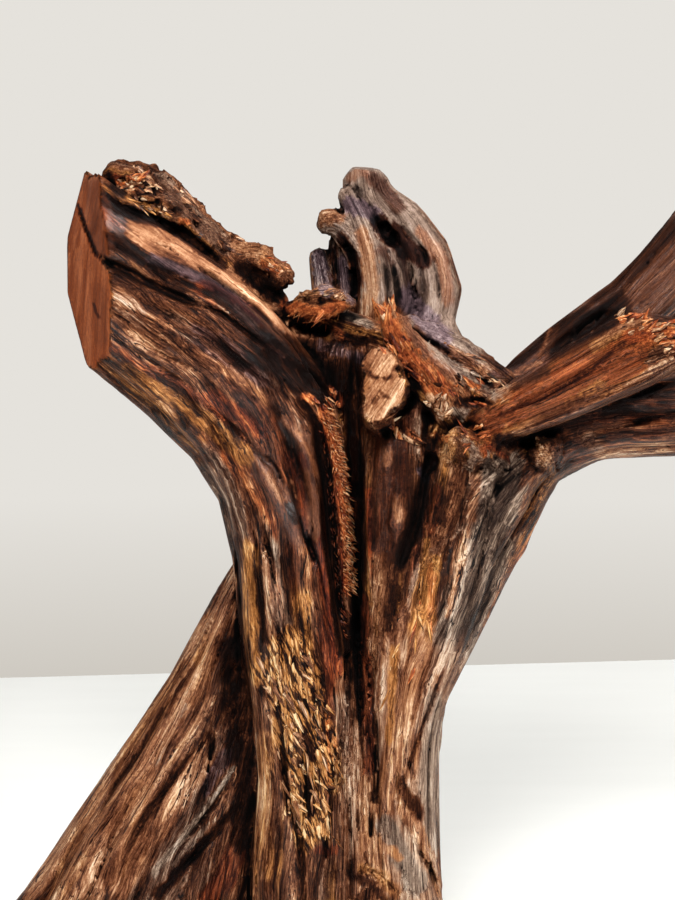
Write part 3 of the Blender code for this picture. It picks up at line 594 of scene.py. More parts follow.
# Carving on the front view: width, height (less than 0 is a groove), and the points of the line
CARVING = (
    # the muzzle
    (8, -5.0, ((100, 255), (112, 264), (130, 273), (150, 284), (170, 294), (190, 302), (210, 308))),
    (5, -4.0, ((205, 306), (222, 314), (236, 324), (252, 337), (275, 352))),
    (2, -1.2, FACE_CRACK),
    (7, -4.0, ((106, 196), (120, 206), (140, 215), (165, 224), (182, 232), (202, 247), (222, 264))),
    (14, -3.0, ((250, 278), (265, 292), (280, 302))),
    (13, 2.5, ((140, 232), (160, 243), (185, 256), (215, 270), (250, 295), (280, 325), (308, 346))),
    (9, -3.0, ((140, 262), (165, 276), (190, 284), (215, 293), (240, 312), (262, 332), (285, 352))),
    (14, -3.5, ((262, 340), (285, 365), (310, 385), (335, 400))),
    (3, -1.6, MUZZLE_CRACK),
    (3, -1.6, ((108, 334), (125, 345), (145, 358), (165, 370), (190, 385), (215, 402))),
    (3, -1.4, ((118, 330), (140, 342), (170, 358), (205, 372))),
    (3, -1.2, ((112, 288), (150, 305), (190, 325))),
    (4, -2.2, ((200, 402), (225, 420), (245, 438), (258, 452))),
    # the upper trunk
    (8, -3.5, ((256, 450), (272, 468), (284, 494), (296, 522))),
    (4, -2.5, ((278, 456), (290, 478), (298, 508), (305, 535), (318, 565), (326, 600))),
    (13, 4.0, ((258, 458), (274, 486), (290, 512), (300, 540))),
    (11, 3.5, ((286, 422), (302, 446), (312, 480), (318, 520), (324, 570), (334, 630), (348, 690))),
    (10, 2.5, ((232, 470), (250, 520), (262, 570), (270, 640))),
    (11, 3.0, ((262, 545), (272, 590), (284, 640))),
    (9, -4.0, ((300, 400), (318, 425), (326, 470), (330, 530), (336, 600), (345, 640))),
    (9, 3.0, ((326, 405), (335, 440), (341, 475), (345, 510), (347, 545), (350, 590))),
    (12, -6.0, ((354, 350), (354, 400), (356, 470), (357, 540), (356, 610))),
    (7, -5.0, ((357, 600), (358, 650), (360, 700), (361, 740))),
    (4, -2.0, ((361, 720), (362, 760), (361, 800), (359, 850))),
    (4, -1.6, ((352, 700), (354, 760), (357, 820), (361, 858))),
    (5, 2.0, ((366, 440), (367, 500), (370, 550), (370, 600))),
    (16, 3.5, ((390, 432), (390, 455), (386, 480))),
    (17, 3.5, ((400, 488), (400, 510), (396, 540))),
    (9, 2.5, ((452, 445), (444, 480), (438, 520))),
    (12, 2.5, ((492, 470), (480, 520), (462, 580))),
    (9, -4.5, ((428, 452), (422, 490), (414, 530), (402, 560), (394, 585))),
    (6, 2.5, ((452, 440), (442, 472), (434, 510), (428, 540))),
    (16, -3.5, ((432, 560), (426, 590), (420, 620))),
    (10, 1.8, ((462, 528), (440, 545), (420, 568), (410, 595), (407, 630), (412, 670))),
    (4, -2.0, ((470, 470), (462, 520), (452, 570), (445, 620))),
    (3, -1.5, ((500, 470), (490, 520), (478, 570), (465, 620))),
    (3, -1.8, ((236, 540), (240, 600), (238, 650), (244, 700))),
    (3, -2.0, ((248, 510), (257, 545), (261, 600), (262, 650))),
    (3, -2.0, ((262, 520), (272, 560), (278, 620), (284, 680))),
    (4, 1.4, ((242, 550), (250, 600), (252, 660), (256, 700))),
    # the lower trunk
    (5, -3.0, ((283, 735), (285, 775), (289, 810), (299, 835), (303, 890))),
    (4, -2.0, ((303, 745), (307, 790), (304, 830))),
    (3, -1.5, ((340, 690), (342, 750), (350, 820), (354, 860))),
    (12, 2.5, ((424, 640), (408, 710), (394, 765), (380, 815), (368, 858))),
    (4, -2.0, ((376, 700), (377, 770), (370, 830), (364, 862))),
    (6, 2.0, ((430, 682), (416, 720), (404, 760), (398, 790))),
    (10, -3.5, ((400, 784), (408, 798), (418, 816))),
    (3, -2.0, TRUNK_CRACK),
    (6, 2.0, ((394, 802), (412, 830), (430, 858), (446, 894))),
    (5, -2.5, ((352, 878), (366, 868), (384, 880), (400, 896))),
    (3, -1.5, ((410, 835), (430, 870), (440, 900))),
    # the leg
    (5, -2.5, ((208, 735), (182, 768), (152, 808), (134, 836), (112, 880))),
    (5, 1.8, ((212, 700), (196, 728), (172, 764), (146, 800), (122, 840), (100, 880))),
    (4, -2.0, ((176, 690), (150, 735), (120, 780), (90, 830))),
    (4, -2.2, ((240, 762), (218, 800), (196, 828), (168, 858))),
    (4, 1.8, ((234, 768), (208, 806), (180, 840), (150, 872))),
    (5, -3.0, LEG_CRACK),
    (18, -5.0, ((228, 655), (240, 700), (246, 750))),
    # the ear
    (13, -7.0, ((377, 222), (386, 234), (398, 246))),
    (5, -3.0, ((395, 222), (410, 236), (424, 252), (430, 275))),
    (5, -4.0, ((342, 238), (352, 252), (357, 276), (353, 302))),
    (4, -3.0, ((333, 250), (336, 275), (335, 298))),
    (5, -2.0, ((384, 262), (388, 290), (388, 312))),
    (5, -1.5, ((408, 258), (414, 288), (418, 318))),
    (7, 1.8, ((396, 262), (402, 290), (404, 312))),
    (3, -1.5, ((432, 250), (438, 280), (440, 310))),
    # the limbs at the right
    (3, -2.5, ((470, 370), (482, 380), (496, 390))),
    (4, -2.0, ((425, 338), (450, 356), (474, 370))),
    (9, -4.0, ((505, 441), (530, 441), (560, 429))),
    (3, -1.5, LIMB_CRACK),
    (4, 1.2, ((515, 434), (560, 420), (600, 402), (640, 384), (672, 370))),
    (5, -3.0, ((598, 410), (640, 396), (675, 380))),
    (4, -2.0, ((585, 435), (630, 424), (675, 412))),
    (10, -4.0, ((548, 352), (575, 335), (600, 318), (618, 312))),
    # the knots under them
    (7, -4.0, ((412, 388), (410, 404), (396, 418))),
    (8, -5.0, KNOT_GAP),
    (9, -5.0, ((426, 452), (432, 462), (426, 474))),
    (6, -3.0, ((460, 402), (480, 400), (492, 404))),
    (8, 2.5, ((440, 432), (452, 446), (448, 462))),
    (5, -3.0, ((462, 430), (470, 424), (486, 436))),
    # the torn shell and the bark ridge
    (10, -4.5, ((292, 322), (315, 330), (338, 330))),
    (7, -3.0, ((342, 336), (358, 342), (374, 340))),
    (6, -2.5, ((300, 298), (318, 302), (340, 300))),
    (6, -2.5, ((118, 178), (128, 186), (140, 190))),
    (3, 1.5, ((180, 220), (184, 222))),
)


def lumpiness():
    """How lumpy the wood is on each grain axis."""
    return np.array([LUMPY.get(name, 0.0) for name, _ in grain_axes()])


def carve(field, grain):
    """Furrow the surface along its grain."""
    index, points = field.band(CARVE_BAND)
    axis = field.axis[index]
    x, y, z = on_reference(grain.at(points, axis))
    broad, furrow, crack, rough = Noise(11), Noise(23), Noise(37), Noise(41)
    drift = DRIFT * broad.layers((x, y, z), 25, 45, 2)
    place = (x + drift, y - drift, z)
    lumpy = lumpiness()[axis]
    lump = rough.layers(points.T, 7, 7, 4, 0.6)
    worn = smooth_step(crack.layers(place, 20, 80, 2), -0.25, 0.35)
    relief = 1.3 * broad.layers(place, 14, 130, 2)
    ridge = 1.0 - np.abs(furrow.layers(place, 8, 110, 2))
    relief -= (0.5 + 1.5 * worn) * smooth_step(ridge, 0.84, 1.0)
    relief += (0.25 + 0.35 * worn) * rough.layers(place, 3.2, 40, 2)
    relief = relief * (1 - 0.5 * lumpy) + LUMP_HEIGHT * lump * lumpy
    field.distance[index] -= relief.astype(np.float32)


def carve_front(field):
    """Sink the grooves and raise the ridges that the front view shows."""
    index, points = field.band(CARVE_BAND)
    seen = front_view(points)
    ahead = np.minimum(index[1] + 1, field.count[1] - 1)
    behind = np.maximum(index[1] - 1, 0)
    rise = field.distance[index[0], ahead, index[2]] - field.distance[index[0], behind, index[2]]
    facing = smooth_step(-rise / (2 * field.cell), 0.0, 0.35)
    ragged = 1.0 + 0.3 * Noise(83).layers(points.T, 6, 6, 2)
    relief = np.zeros(len(points))
    for width, height, line in CARVING:
        near, gap, share = near_stroke(seen, facing, line, CARVE_REACH * width)
        taper = smooth_step(share, -0.02, 0.2) * smooth_step(1 - share, -0.02, 0.3)
        across = gap * ragged[near] / (width * (0.3 + 0.7 * taper))
        relief[near] += facing[near] * height * (0.2 + 0.8 * taper) * (1 - smooth_step(across, 0.0, 1.0))
    field.distance[index] -= np.clip(relief, *CARVE_LIMITS).astype(np.float32)


# Skin
def sample(field, points):
    """Distance to the surface at any points, read between the grid's cells."""
    place = np.clip((points - field.low) / field.cell, 0, field.count - 1.001)
    low = place.astype(int)
    part = (place - low).astype(np.float32)
    total = np.zeros(len(points), np.float32)
    for i, j, k, weight in cell_corners(*part.T):
        total += weight * field.distance[low[:, 0] + i, low[:, 1] + j, low[:, 2] + k]
    return total


def grow_wood(cell):
    """Heap all strands on a grid, furrow them and saw the cut faces."""
    field = Field(cell)
    for axis, stations in all_strands():
        field.add_tube(stations, axis)
    field.settle()
    grain = Grain()
    carve(field, grain)
    for point, outward, reach, _ in CUTS.values():
        field.cut(point, outward, reach)
    carve_front(field)
    return field, grain


def skin_mesh(points, quads):
    """A mesh of points and four-sided faces."""
    mesh = bpy.data.meshes.new("wood_skin")
    mesh.vertices.add(len(points))
    mesh.vertices.foreach_set("co", points.astype(np.float32).ravel())
    mesh.loops.add(len(quads) * 4)
    mesh.loops.foreach_set("vertex_index", quads.astype(np.int32).ravel())
    mesh.polygons.add(len(quads))
    mesh.polygons.foreach_set("loop_start", np.arange(len(quads), dtype=np.int32) * 4)
    mesh.update(calc_edges=True)
    return mesh


def keep_largest_island(mesh):
    """Delete every part of a mesh but the one with the most points."""
    mesh_edges = np.zeros(len(mesh.edges) * 2, np.int32)
    mesh.edges.foreach_get("vertices", mesh_edges)
    ends = mesh_edges.reshape(-1, 2)
    label = np.arange(len(mesh.vertices))
    while True:
        least = np.minimum(label[ends[:, 0]], label[ends[:, 1]])
        fresh = label.copy()
        np.minimum.at(fresh, label[ends[:, 0]], least)
        np.minimum.at(fresh, label[ends[:, 1]], least)
        fresh = fresh[fresh]
        if (fresh == label).all():
            break
        label = fresh
    largest = np.bincount(label).argmax()
    work = bmesh.new()
    work.from_mesh(mesh)
    work.verts.ensure_lookup_table()
    loose = [work.verts[int(i)] for i in np.nonzero(label != largest)[0]]
    bmesh.ops.delete(work, geom=loose, context="VERTS")
    bmesh.ops.recalc_face_normals(work, faces=work.faces)
    work.to_mesh(mesh)
    work.free()


def read_points(mesh):
    """Points and normals of a mesh's vertices, as arrays."""
    points = np.zeros(len(mesh.vertices) * 3, np.float32)
    mesh.vertices.foreach_get("co", points)
    normals = np.zeros(len(mesh.vertices) * 3, np.float32)
    mesh.vertex_normals.foreach_get("vector", normals)
    return points.reshape(-1, 3), normals.reshape(-1, 3)


def thin_out(mesh, limit):
    """Take triangles away where the wood is smooth, and more of them on the back."""
    piece = bpy.data.objects.new("wood_skin", mesh)
    bpy.context.collection.objects.link(piece)
    _, normals = read_points(mesh)
    group = piece.vertex_groups.new(name="thin")
    back = smooth_step(normals[:, 1], -0.1, 0.4) > 0.5
    for side, weight in ((~back, FRONT_THINNING), (back, 1.0)):
        group.add([int(i) for i in np.nonzero(side)[0]], weight, "REPLACE")
    thin = piece.modifiers.new("Thin", "DECIMATE")
    thin.ratio = min(1.0, limit / (2.0 * len(mesh.polygons)))
    thin.use_collapse_triangulate = True
    thin.vertex_group = "thin"
    thin.vertex_group_factor = 1.0
    graph = bpy.context.evaluated_depsgraph_get()
    fine = bpy.data.meshes.new_from_object(piece.evaluated_get(graph))
    piece.vertex_groups.clear()
    piece.modifiers.clear()
    piece.data = fine
    return piece


def shade(tone, honey=0.0, rust=0.0, grey=0.0, **others):
    """A paint that sets the tone and all the woods' colours but violet, and what else is named."""
    return dict(tone=tone, honey=honey, rust=rust, grey=grey, **others)


# Paints: how a stroke changes the wood under it. Tone is from -1, near
# black, to 1, pale; the others are shares from 0 to 1.
PAINTS = {
    # Black and dark are the wood's dark cracks, and in some strokes painted shade in hollows and under
    # overhangs.
    "black": shade(-1.1, rust=0.1, varnish=-1.0),
    "dark": {"tone": -0.8, "grey": 0.0, "varnish": -0.8},
    "brown": shade(0.0),
    "warm": shade(0.25, honey=0.35, rust=0.2),
    "tan": shade(0.75, honey=0.3),
    "lit": shade(0.95, honey=0.1, grey=0.2, violet=0.15, varnish=-0.8),
    "pale": shade(1.1, honey=0.15, grey=0.2),
    "blond": shade(0.95, honey=0.6),
    "honey": shade(0.5, honey=1.0),
    "amber": shade(0.15, honey=1.0, rust=0.2),
    "orange": shade(0.55, honey=0.6, rust=0.75),
    "rust": shade(0.1, rust=1.0),
    "mahogany": shade(-0.25, rust=0.6),
    "torn": shade(0.45, honey=0.6, rust=0.6, rough=0.5),
    "torn face": shade(0.5, honey=0.55, rust=0.65, violet=0.0, sawn=0.6, rough=0.1),
    "torn wood": shade(-0.08, honey=0.9, rust=0.55, violet=0.0, sawn=0.5, rough=0.0, varnish=-0.3),
    "deep": shade(-0.35, honey=0.1, rust=0.12),
    "deep warm": shade(-0.35, honey=0.2, rust=0.35, violet=0.1),
    "ember": shade(1.0, rust=1.6),
    "smooth": {"sawn": 0.75},
    "calm": {"sawn": 0.5},
    "glossy": {"grey": 0.0, "sawn": 0.2, "varnish": 1.0},
    "grey": shade(0.1, grey=0.9),
    "driftgrey": shade(0.65, honey=0.1, grey=0.8),
    # Violet is partly the purple-brown of the wood and partly a painted sheen of the varnish; weathered and
    # lit carry some of it.
    "weathered": shade(0.55, grey=0.75, violet=0.35),
    "taupe": shade(0.9, honey=0.25, grey=0.5, violet=0.0),
    "violet": {"tone": 0.0, "honey": 0.0, "rust": 0.0, "violet": 1.0},
    "sawn": shade(0.3, honey=0.75, rust=0.6, violet=0.0, sawn=1.0, flakes=0.0, rough=0.0, varnish=-0.2),
    "sawn, old": shade(0.25, honey=0.35, rust=0.2, grey=0.3, sawn=0.7, varnish=-0.3),
    "sawn, dark": shade(-0.1, honey=0.5, rust=0.5, sawn=1.0),
    "sawn, pale": shade(0.85, honey=0.25, grey=0.15, sawn=0.55, varnish=-0.4),
    "sawn, black": {"tone": -1.0, "varnish": -1.0},
    "sawn, creased": {"rough": 0.5},
    "matte": {"varnish": -0.8},
    "flaked": {"tone": 0.35, "honey": 0.75, "grey": 0.0, "flakes": 1.0},
    "rough": {"rough": 1.0},
}

# Strokes on the front view: paint, width, strength, and the points of the line
STROKES = (
    # the muzzle
    ("deep", 80, 0.75, ((110, 290), (180, 330), (250, 400))),
    ("deep warm", 50, 0.85, ((236, 410), (290, 480), (310, 560))),
    ("lit", 8, 0.3, ((120, 285), (160, 305), (200, 330), (240, 355))),
    ("grey", 14, 0.35, ((115, 300), (160, 322), (220, 352), (260, 372))),
    ("driftgrey", 5, 0.25, ((118, 305), (150, 322), (180, 336), (200, 350))),
    ("tan", 5, 0.6, ((150, 318), (162, 322), (170, 328))),
    ("matte", 30, 0.9, ((112, 292), (160, 315), (215, 345))),
    ("dark", 4, 0.6, ((110, 300), (150, 322), (190, 345), (226, 370))),
    ("tan", 9, 0.55, ((200, 352), (225, 368), (250, 388), (268, 402))),
    ("tan", 6, 0.5, ((125, 335), (160, 355), (200, 375), (235, 400))),
    ("violet", 14, 0.35, ((200, 335), (235, 355), (262, 380))),
    ("rust", 10, 0.45, ((210, 395), (240, 415), (262, 432))),
    ("amber", 10, 0.85, ((128, 372), (160, 388), (190, 408), (222, 432), (242, 452))),
    ("amber", 13, 0.85, ((205, 418), (225, 436), (244, 456))),
    ("mahogany", 7, 0.7, ((112, 345), (150, 368), (190, 392), (230, 420))),
    ("dark", 6, 0.7, ((112, 378), (150, 400), (185, 424))),
    ("tan", 6, 0.6, ((108, 368), (140, 390), (172, 412))),
    ("dark", 4, 0.8, MUZZLE_CRACK),
    ("mahogany", 18, 0.8, ((112, 216), (132, 226), (146, 236))),
    ("violet", 10, 0.4, ((116, 222), (132, 230))),
    ("glossy", 12, 0.9, ((116, 222), (140, 236), (175, 258))),
    # Partly the crack's own black, partly painted shade under the upper lobe.
    ("black", 11, 0.8, ((112, 240), (135, 250), (150, 262), (172, 276), (198, 286))),
    # Painted highlight along the narrow ridge.
    ("tan", 4, 0.25, ((114, 252), (130, 262), (150, 276), (168, 286))),
    ("dark", 10, 0.7, ((170, 282), (200, 292), (222, 304))),
    ("lit", 21, 1.0, ((146, 230), (162, 244), (185, 256), (212, 270))),
    ("lit", 17, 1.0, ((205, 264), (230, 280), (254, 296), (278, 320), (302, 342))),
    ("smooth", 20, 1.0, ((146, 232), (185, 256), (230, 282), (278, 322), (302, 342))),
    ("tan", 5, 0.7, ((225, 272), (250, 288), (272, 308))),
    ("driftgrey", 6, 0.6, ((215, 284), (240, 300), (262, 322), (282, 336))),
    ("violet", 7, 0.6, ((150, 258), (175, 268), (200, 278), (230, 296), (256, 322))),
    ("weathered", 4, 0.7, ((232, 312), (252, 330), (270, 350), (290, 366))),
    ("tan", 3, 0.6, ((215, 300), (240, 318), (262, 340))),
    # Painted shade in the groove under the bark ridge.
    ("black", 7, 1.0, ((106, 198), (120, 208), (145, 217), (168, 226), (190, 238))),
    ("dark", 8, 0.8, ((185, 236), (205, 250), (222, 264))),
    ("mahogany", 14, 0.8, ((205, 290), (232, 306), (254, 326), (276, 348))),
    ("weathered", 7, 0.7, ((222, 302), (248, 322), (272, 344), (290, 362))),
    ("black", 3, 0.9, ((205, 292), (232, 310), (254, 332), (272, 352))),
    # Painted shade in the hollow under the torn shell, where the muzzle meets the trunk.
    ("black", 26, 1.0, ((266, 350), (290, 372), (318, 385), (345, 372))),
    ("black", 18, 1.0, ((318, 362), (345, 372), (350, 400))),
    ("dark", 12, 0.7, ((290, 345), (320, 350), (350, 362))),
    ("violet", 9, 0.5, ((322, 345), (345, 352), (358, 358))),
    ("driftgrey", 4, 0.5, ((262, 372), (285, 392), (300, 410))),
    # the bark ridge
    ("rough", 26, 1.0, ((122, 176), (160, 190), (200, 225), (235, 255))),
    ("warm", 22, 0.6, ((150, 172), (180, 200), (215, 232), (250, 255))),
    ("grey", 14, 0.5, ((160, 180), (190, 212), (225, 246))),
    ("orange", 8, 0.9, ((116, 178), (130, 186), (136, 180))),
    ("honey", 5, 1.0, ((124, 197), (145, 206), (166, 215))),
    ("black", 5, 0.9, ((140, 190), (150, 192), (158, 188))),
    ("black", 4, 0.9, ((112, 186), (124, 194))),
    ("orange", 5, 1.0, ((181, 221), (186, 222))),
    ("tan", 12, 0.7, ((238, 246), (262, 252), (284, 262))),
    ("rough", 20, 1.0, ((240, 255), (262, 262), (284, 266))),
    ("orange", 8, 0.6, ((264, 262), (278, 272))),
    # Painted shadow between the knob and the lit band below it.
    ("black", 12, 0.9, ((243, 268), (262, 284), (276, 294))),
    # the sawn face
    ("sawn, dark", 14, 0.7, ((96, 180), (100, 215), (104, 248))),
    ("sawn, black", 2, 1.0, FACE_CRACK),
    ("sawn, black", 1.5, 0.9, ((94, 304), (96, 312), (99, 318))),
    ("sawn, dark", 8, 0.4, ((100, 290), (100, 340))),
    # the ear
    ("weathered", 66, 0.95, EAR_MIDDLE),
    ("smooth", 66, 0.9, EAR_MIDDLE),
    ("weathered", 24, 0.7, ((330, 240), (336, 290))),
    ("driftgrey", 20, 0.6, ((365, 185), (400, 210), (430, 245), (448, 290))),
    ("driftgrey", 12, 0.7, ((430, 245), (446, 275), (446, 310))),
    ("tan", 7, 0.5, ((350, 178), (356, 174), (364, 173))),
    ("dark", 9, 0.45, ((372, 178), (386, 190), (398, 206))),
    ("tan", 8, 0.6, ((420, 232), (442, 262), (448, 300))),
    ("violet", 10, 0.9, ((350, 204), (362, 208), (372, 214))),
    # Painted shade in the ear's hollow.
    ("black", 10, 1.0, ((378, 222), (390, 238), (402, 250))),
    ("dark", 10, 0.9, ((395, 232), (412, 250), (424, 262))),
    ("black", 6, 1.0, ((342, 240), (352, 254), (357, 280), (352, 302))),
    ("violet", 9, 0.8, ((318, 256), (322, 280), (326, 290))),
    ("violet", 7, 0.7, ((342, 262), (346, 285), (350, 298))),
    ("dark", 5, 0.8, ((333, 250), (336, 275), (335, 295))),
    ("tan", 7, 0.8, ((322, 216), (334, 212), (342, 216))),
    ("rough", 10, 0.9, ((322, 216), (334, 214), (344, 218))),
    ("grey", 14, 0.5, ((386, 262), (396, 285), (406, 305))),
    ("violet", 13, 0.75, ((408, 298), (424, 316), (442, 338))),
    ("driftgrey", 14, 0.5, ((410, 290), (430, 318), (470, 360))),
    ("lit", 9, 0.8, ((362, 232), (370, 262), (374, 290), (366, 316))),
    ("dark", 7, 0.35, ((382, 250), (400, 268), (412, 290), (414, 312))),
    ("driftgrey", 4, 0.7, ((390, 250), (398, 262), (402, 285))),
    # the torn shell and the fork
    ("warm", 22, 0.8, ((296, 296), (318, 294), (342, 298))),
    ("rough", 22, 0.6, ((296, 300), (318, 300), (342, 298))),
    ("tan", 9, 0.6, ((302, 292), (318, 288), (344, 297))),
    ("torn face", 11, 1.0, ((286, 304), (304, 312), (322, 316), (338, 308))),
    # Painted shadow under the torn shell.
    ("black", 8, 1.0, ((296, 322), (318, 330), (338, 328))),
    ("driftgrey", 7, 0.9, ((346, 316), (362, 322), (380, 328))),
    ("black", 7, 0.9, ((344, 336), (358, 342), (374, 340))),
    ("orange", 5, 0.7, ((336, 328), (342, 338))),
    # the sawn knot
    ("sawn, pale", 22, 1.0, ((382, 362), (384, 385), (376, 408))),
    ("sawn, creased", 22, 1.0, ((382, 358), (384, 385), (376, 408))),
    ("sawn, black", 2, 0.8, ((368, 372), (380, 380), (392, 376))),
    ("sawn, black", 2, 0.6, ((372, 404), (380, 394), (388, 398))),
    ("sawn, dark", 6, 0.5, KNOT_EDGE),
    ("grey", 6, 0.6, KNOT_EDGE),
    ("dark", 4, 0.6, ((388, 366), (394, 364))),
    # the horn of splinters
    ("orange", 8, 0.9, ((386, 312), (396, 330), (404, 342))),
    ("orange", 8, 0.9, ((398, 345), (410, 362), (424, 378), (436, 392))),
    ("honey", 6, 0.7, ((402, 372), (410, 388), (424, 398))),
    ("rust", 10, 0.8, ((428, 368), (446, 382), (458, 396))),
    ("rough", 16, 0.8, ((430, 380), (452, 392), (475, 392))),
    ("driftgrey", 16, 0.8, ((418, 326), (440, 340), (462, 356), (484, 372), (504, 392))),
    ("tan", 8, 0.8, ((418, 330), (440, 344), (462, 358), (484, 374), (504, 394))),
    ("warm", 24, 0.9, ((388, 318), (402, 345), (424, 372), (450, 392))),
    ("torn face", 13, 1.0, ((386, 312), (394, 334), (408, 358), (424, 378), (436, 392))),
    ("torn face", 8, 0.8, ((424, 366), (436, 380), (446, 388))),
    ("driftgrey", 12, 0.5, ((465, 378), (485, 390), (500, 398))),
    ("black", 3, 1.0, ((472, 372), (482, 379), (492, 386))),
    # the knots under it
    ("pale", 6, 0.9, ((430, 398), (438, 404), (440, 416))),
    ("pale", 5, 0.8, ((398, 404), (404, 412), (400, 418))),
    ("black", 7, 1.0, KNOT_GAP),
    ("black", 5, 1.0, ((410, 388), (409, 402), (396, 417))),
    ("orange", 6, 0.7, ((385, 418), (402, 428), (416, 438))),
    ("blond", 10, 0.8, ((434, 430), (446, 434), (450, 448), (440, 462))),
    ("orange", 6, 0.7, ((436, 436), (446, 440))),
    ("black", 8, 1.0, ((424, 446), (432, 456), (426, 472))),
    ("driftgrey", 8, 0.7, ((466, 440), (476, 452), (470, 466))),
    ("driftgrey", 6, 0.8, ((452, 412), (468, 408), (462, 418))),
    ("violet", 5, 0.8, ((420, 470), (426, 480))),
    ("black", 6, 0.9, ((460, 402), (480, 402), (490, 406))),
    ("rust", 9, 0.6, ((486, 450), (504, 458), (510, 470))),
    ("honey", 6, 0.6, ((494, 456), (500, 480), (494, 500))),
    # the limbs at the right
    ("deep", 60, 1.0, LIMB_MIDDLE),
    ("taupe", 40, 0.15, ((618, 300), (645, 275), (675, 250))),
    ("smooth", 60, 0.9, LIMB_MIDDLE),
    ("dark", 12, 0.6, ((600, 296), (640, 262), (672, 228))),
    # Painted shade in the hollow behind the torn limb.
    ("black", 18, 1.0, ((552, 345), (575, 328), (600, 320), (620, 308))),
    # Painted glint.
    ("driftgrey", 4, 0.35, ((556, 330), (548, 345), (546, 360))),
    ("violet", 8, 0.35, ((496, 375), (520, 368), (545, 360))),
    ("black", 5, 0.8, ((500, 368), (520, 360), (540, 346))),
    # Painted glints along the limb.
    ("taupe", 3, 0.6, ((506, 378), (524, 369), (540, 362))),
    ("taupe", 2.5, 0.6, ((550, 328), (545, 344), (538, 358))),
    ("torn wood", 20, 1.0, ((480, 428), (530, 408), (575, 386), (620, 360))),
    ("torn wood", 15, 0.9, ((560, 372), (600, 348), (640, 340))),
    ("orange", 6, 0.5, ((510, 396), (550, 378), (585, 362))),
    ("tan", 7, 0.6, ((530, 425), (565, 408), (600, 385))),
    ("dark", 3, 0.9, LIMB_CRACK),
    ("tan", 10, 0.7, ((510, 436), (560, 418), (600, 400), (640, 382), (672, 364))),
    ("tan", 7, 0.7, ((594, 346), (608, 336), (620, 330))),
    ("orange", 9, 0.8, ((628, 336), (650, 334), (672, 332))),
    ("pale", 5, 0.6, ((620, 326), (636, 320), (646, 318))),
    ("rough", 16, 1.0, ((610, 340), (640, 335), (672, 340))),
    # Painted shadow under the torn limb.
    ("black", 9, 1.0, ((500, 442), (530, 442), (560, 430))),
    ("deep warm", 44, 0.9, ((560, 440), (610, 425), (675, 405))),
    ("weathered", 30, 0.3, ((640, 300), (672, 270))),
    ("black", 5, 0.9, ((605, 412), (640, 398), (675, 382))),
    ("tan", 9, 0.8, ((602, 455), (635, 450), (662, 448))),
    ("tan", 11, 0.95, ((541, 440), (545, 462))),
    ("dark", 3, 0.9, ((530, 445), (534, 470))),
    ("driftgrey", 12, 0.5, ((590, 440), (596, 446))),
    # the upper trunk
    ("grey", 22, 0.5, ((214, 470), (230, 520), (236, 570))),
    ("orange", 6, 0.5, ((225, 455), (248, 490), (268, 522))),
    ("black", 7, 1.0, ((262, 458), (276, 474), (286, 496), (296, 520))),
    ("glossy", 12, 0.9, ((262, 462), (276, 486), (290, 512), (300, 540))),
    # Painted highlight on the lobe.
    ("pale", 9, 0.55, ((262, 460), (272, 478), (284, 498))),
    ("glossy", 9, 0.8, ((284, 424), (300, 446), (312, 480), (318, 520), (322, 560))),
    # Painted highlights on the lobes.
    ("tan", 5, 0.8, ((282, 418), (298, 436), (312, 462), (318, 476))),
    ("pale", 5, 0.8, ((292, 482), (300, 500), (304, 516))),
    ("smooth", 15, 0.9, ((260, 458), (276, 486), (290, 512), (300, 540))),
    ("smooth", 14, 0.9, ((288, 424), (304, 450), (313, 490), (318, 530))),
    ("mahogany", 14, 0.8, ((300, 460), (308, 500), (316, 560), (326, 620), (338, 680))),
    # Painted highlight strip on the lobe.
    ("tan", 9, 0.65, ((308, 474), (314, 500), (318, 535))),
    ("warm", 8, 0.6, ((300, 540), (312, 580), (318, 610))),
    ("rust", 5, 0.8, ((322, 540), (328, 590), (334, 630), (340, 670))),
    ("black", 9, 1.0, ((300, 402), (318, 430), (326, 480), (330, 540), (336, 600), (344, 650))),
    ("rust", 9, 1.0, ((326, 412), (334, 440), (341, 475), (345, 510), (347, 545), (350, 590))),
    ("orange", 6, 1.0, ((328, 418), (336, 445), (342, 475), (346, 505), (347, 540))),
    ("orange", 5, 1.0, ((303, 396), (312, 400))),
    ("orange", 6, 1.0, ((333, 390), (340, 402))),
    ("black", 9, 1.0, ((355, 360), (356, 430), (357, 520), (357, 600), (359, 670), (361, 715))),
    ("tan", 9, 0.5, ((361, 730), (361, 790), (361, 850))),
    ("dark", 3, 0.8, ((361, 720), (362, 770), (361, 820))),
    ("rust", 4, 0.8, ((367, 490), (370, 540), (371, 580))),
    ("mahogany", 9, 0.8, ((364, 600), (366, 660), (368, 720))),
    ("deep warm", 26, 1.0, ((392, 435), (392, 500), (390, 545))),
    ("glossy", 26, 0.45, PILLAR_MIDDLE),
    ("smooth", 26, 0.9, PILLAR_MIDDLE),
    ("tan", 7, 0.6, ((388, 452), (388, 462))),
    ("tan", 8, 0.75, ((398, 502), (399, 516))),
    ("dark", 10, 0.6, ((410, 460), (408, 500))),
    ("black", 9, 1.0, ((426, 470), (420, 500), (412, 535), (400, 560))),
    ("mahogany", 8, 0.7, ((436, 490), (430, 530))),
    ("warm", 6, 0.6, ((452, 470), (446, 510))),
    ("dark", 6, 0.8, ((446, 480), (440, 520))),
    ("taupe", 12, 0.35, ((376, 560), (378, 620), (376, 680))),
    ("grey", 34, 0.8, ((500, 480), (480, 560), (456, 640))),
    ("tan", 5, 0.7, ((466, 530), (456, 580), (448, 615))),
    ("warm", 6, 0.6, ((478, 470), (470, 520))),
    ("honey", 15, 0.95, ((432, 565), (424, 600), (420, 640), (418, 680))),
    ("orange", 5, 0.6, ((430, 560), (432, 600), (426, 650))),
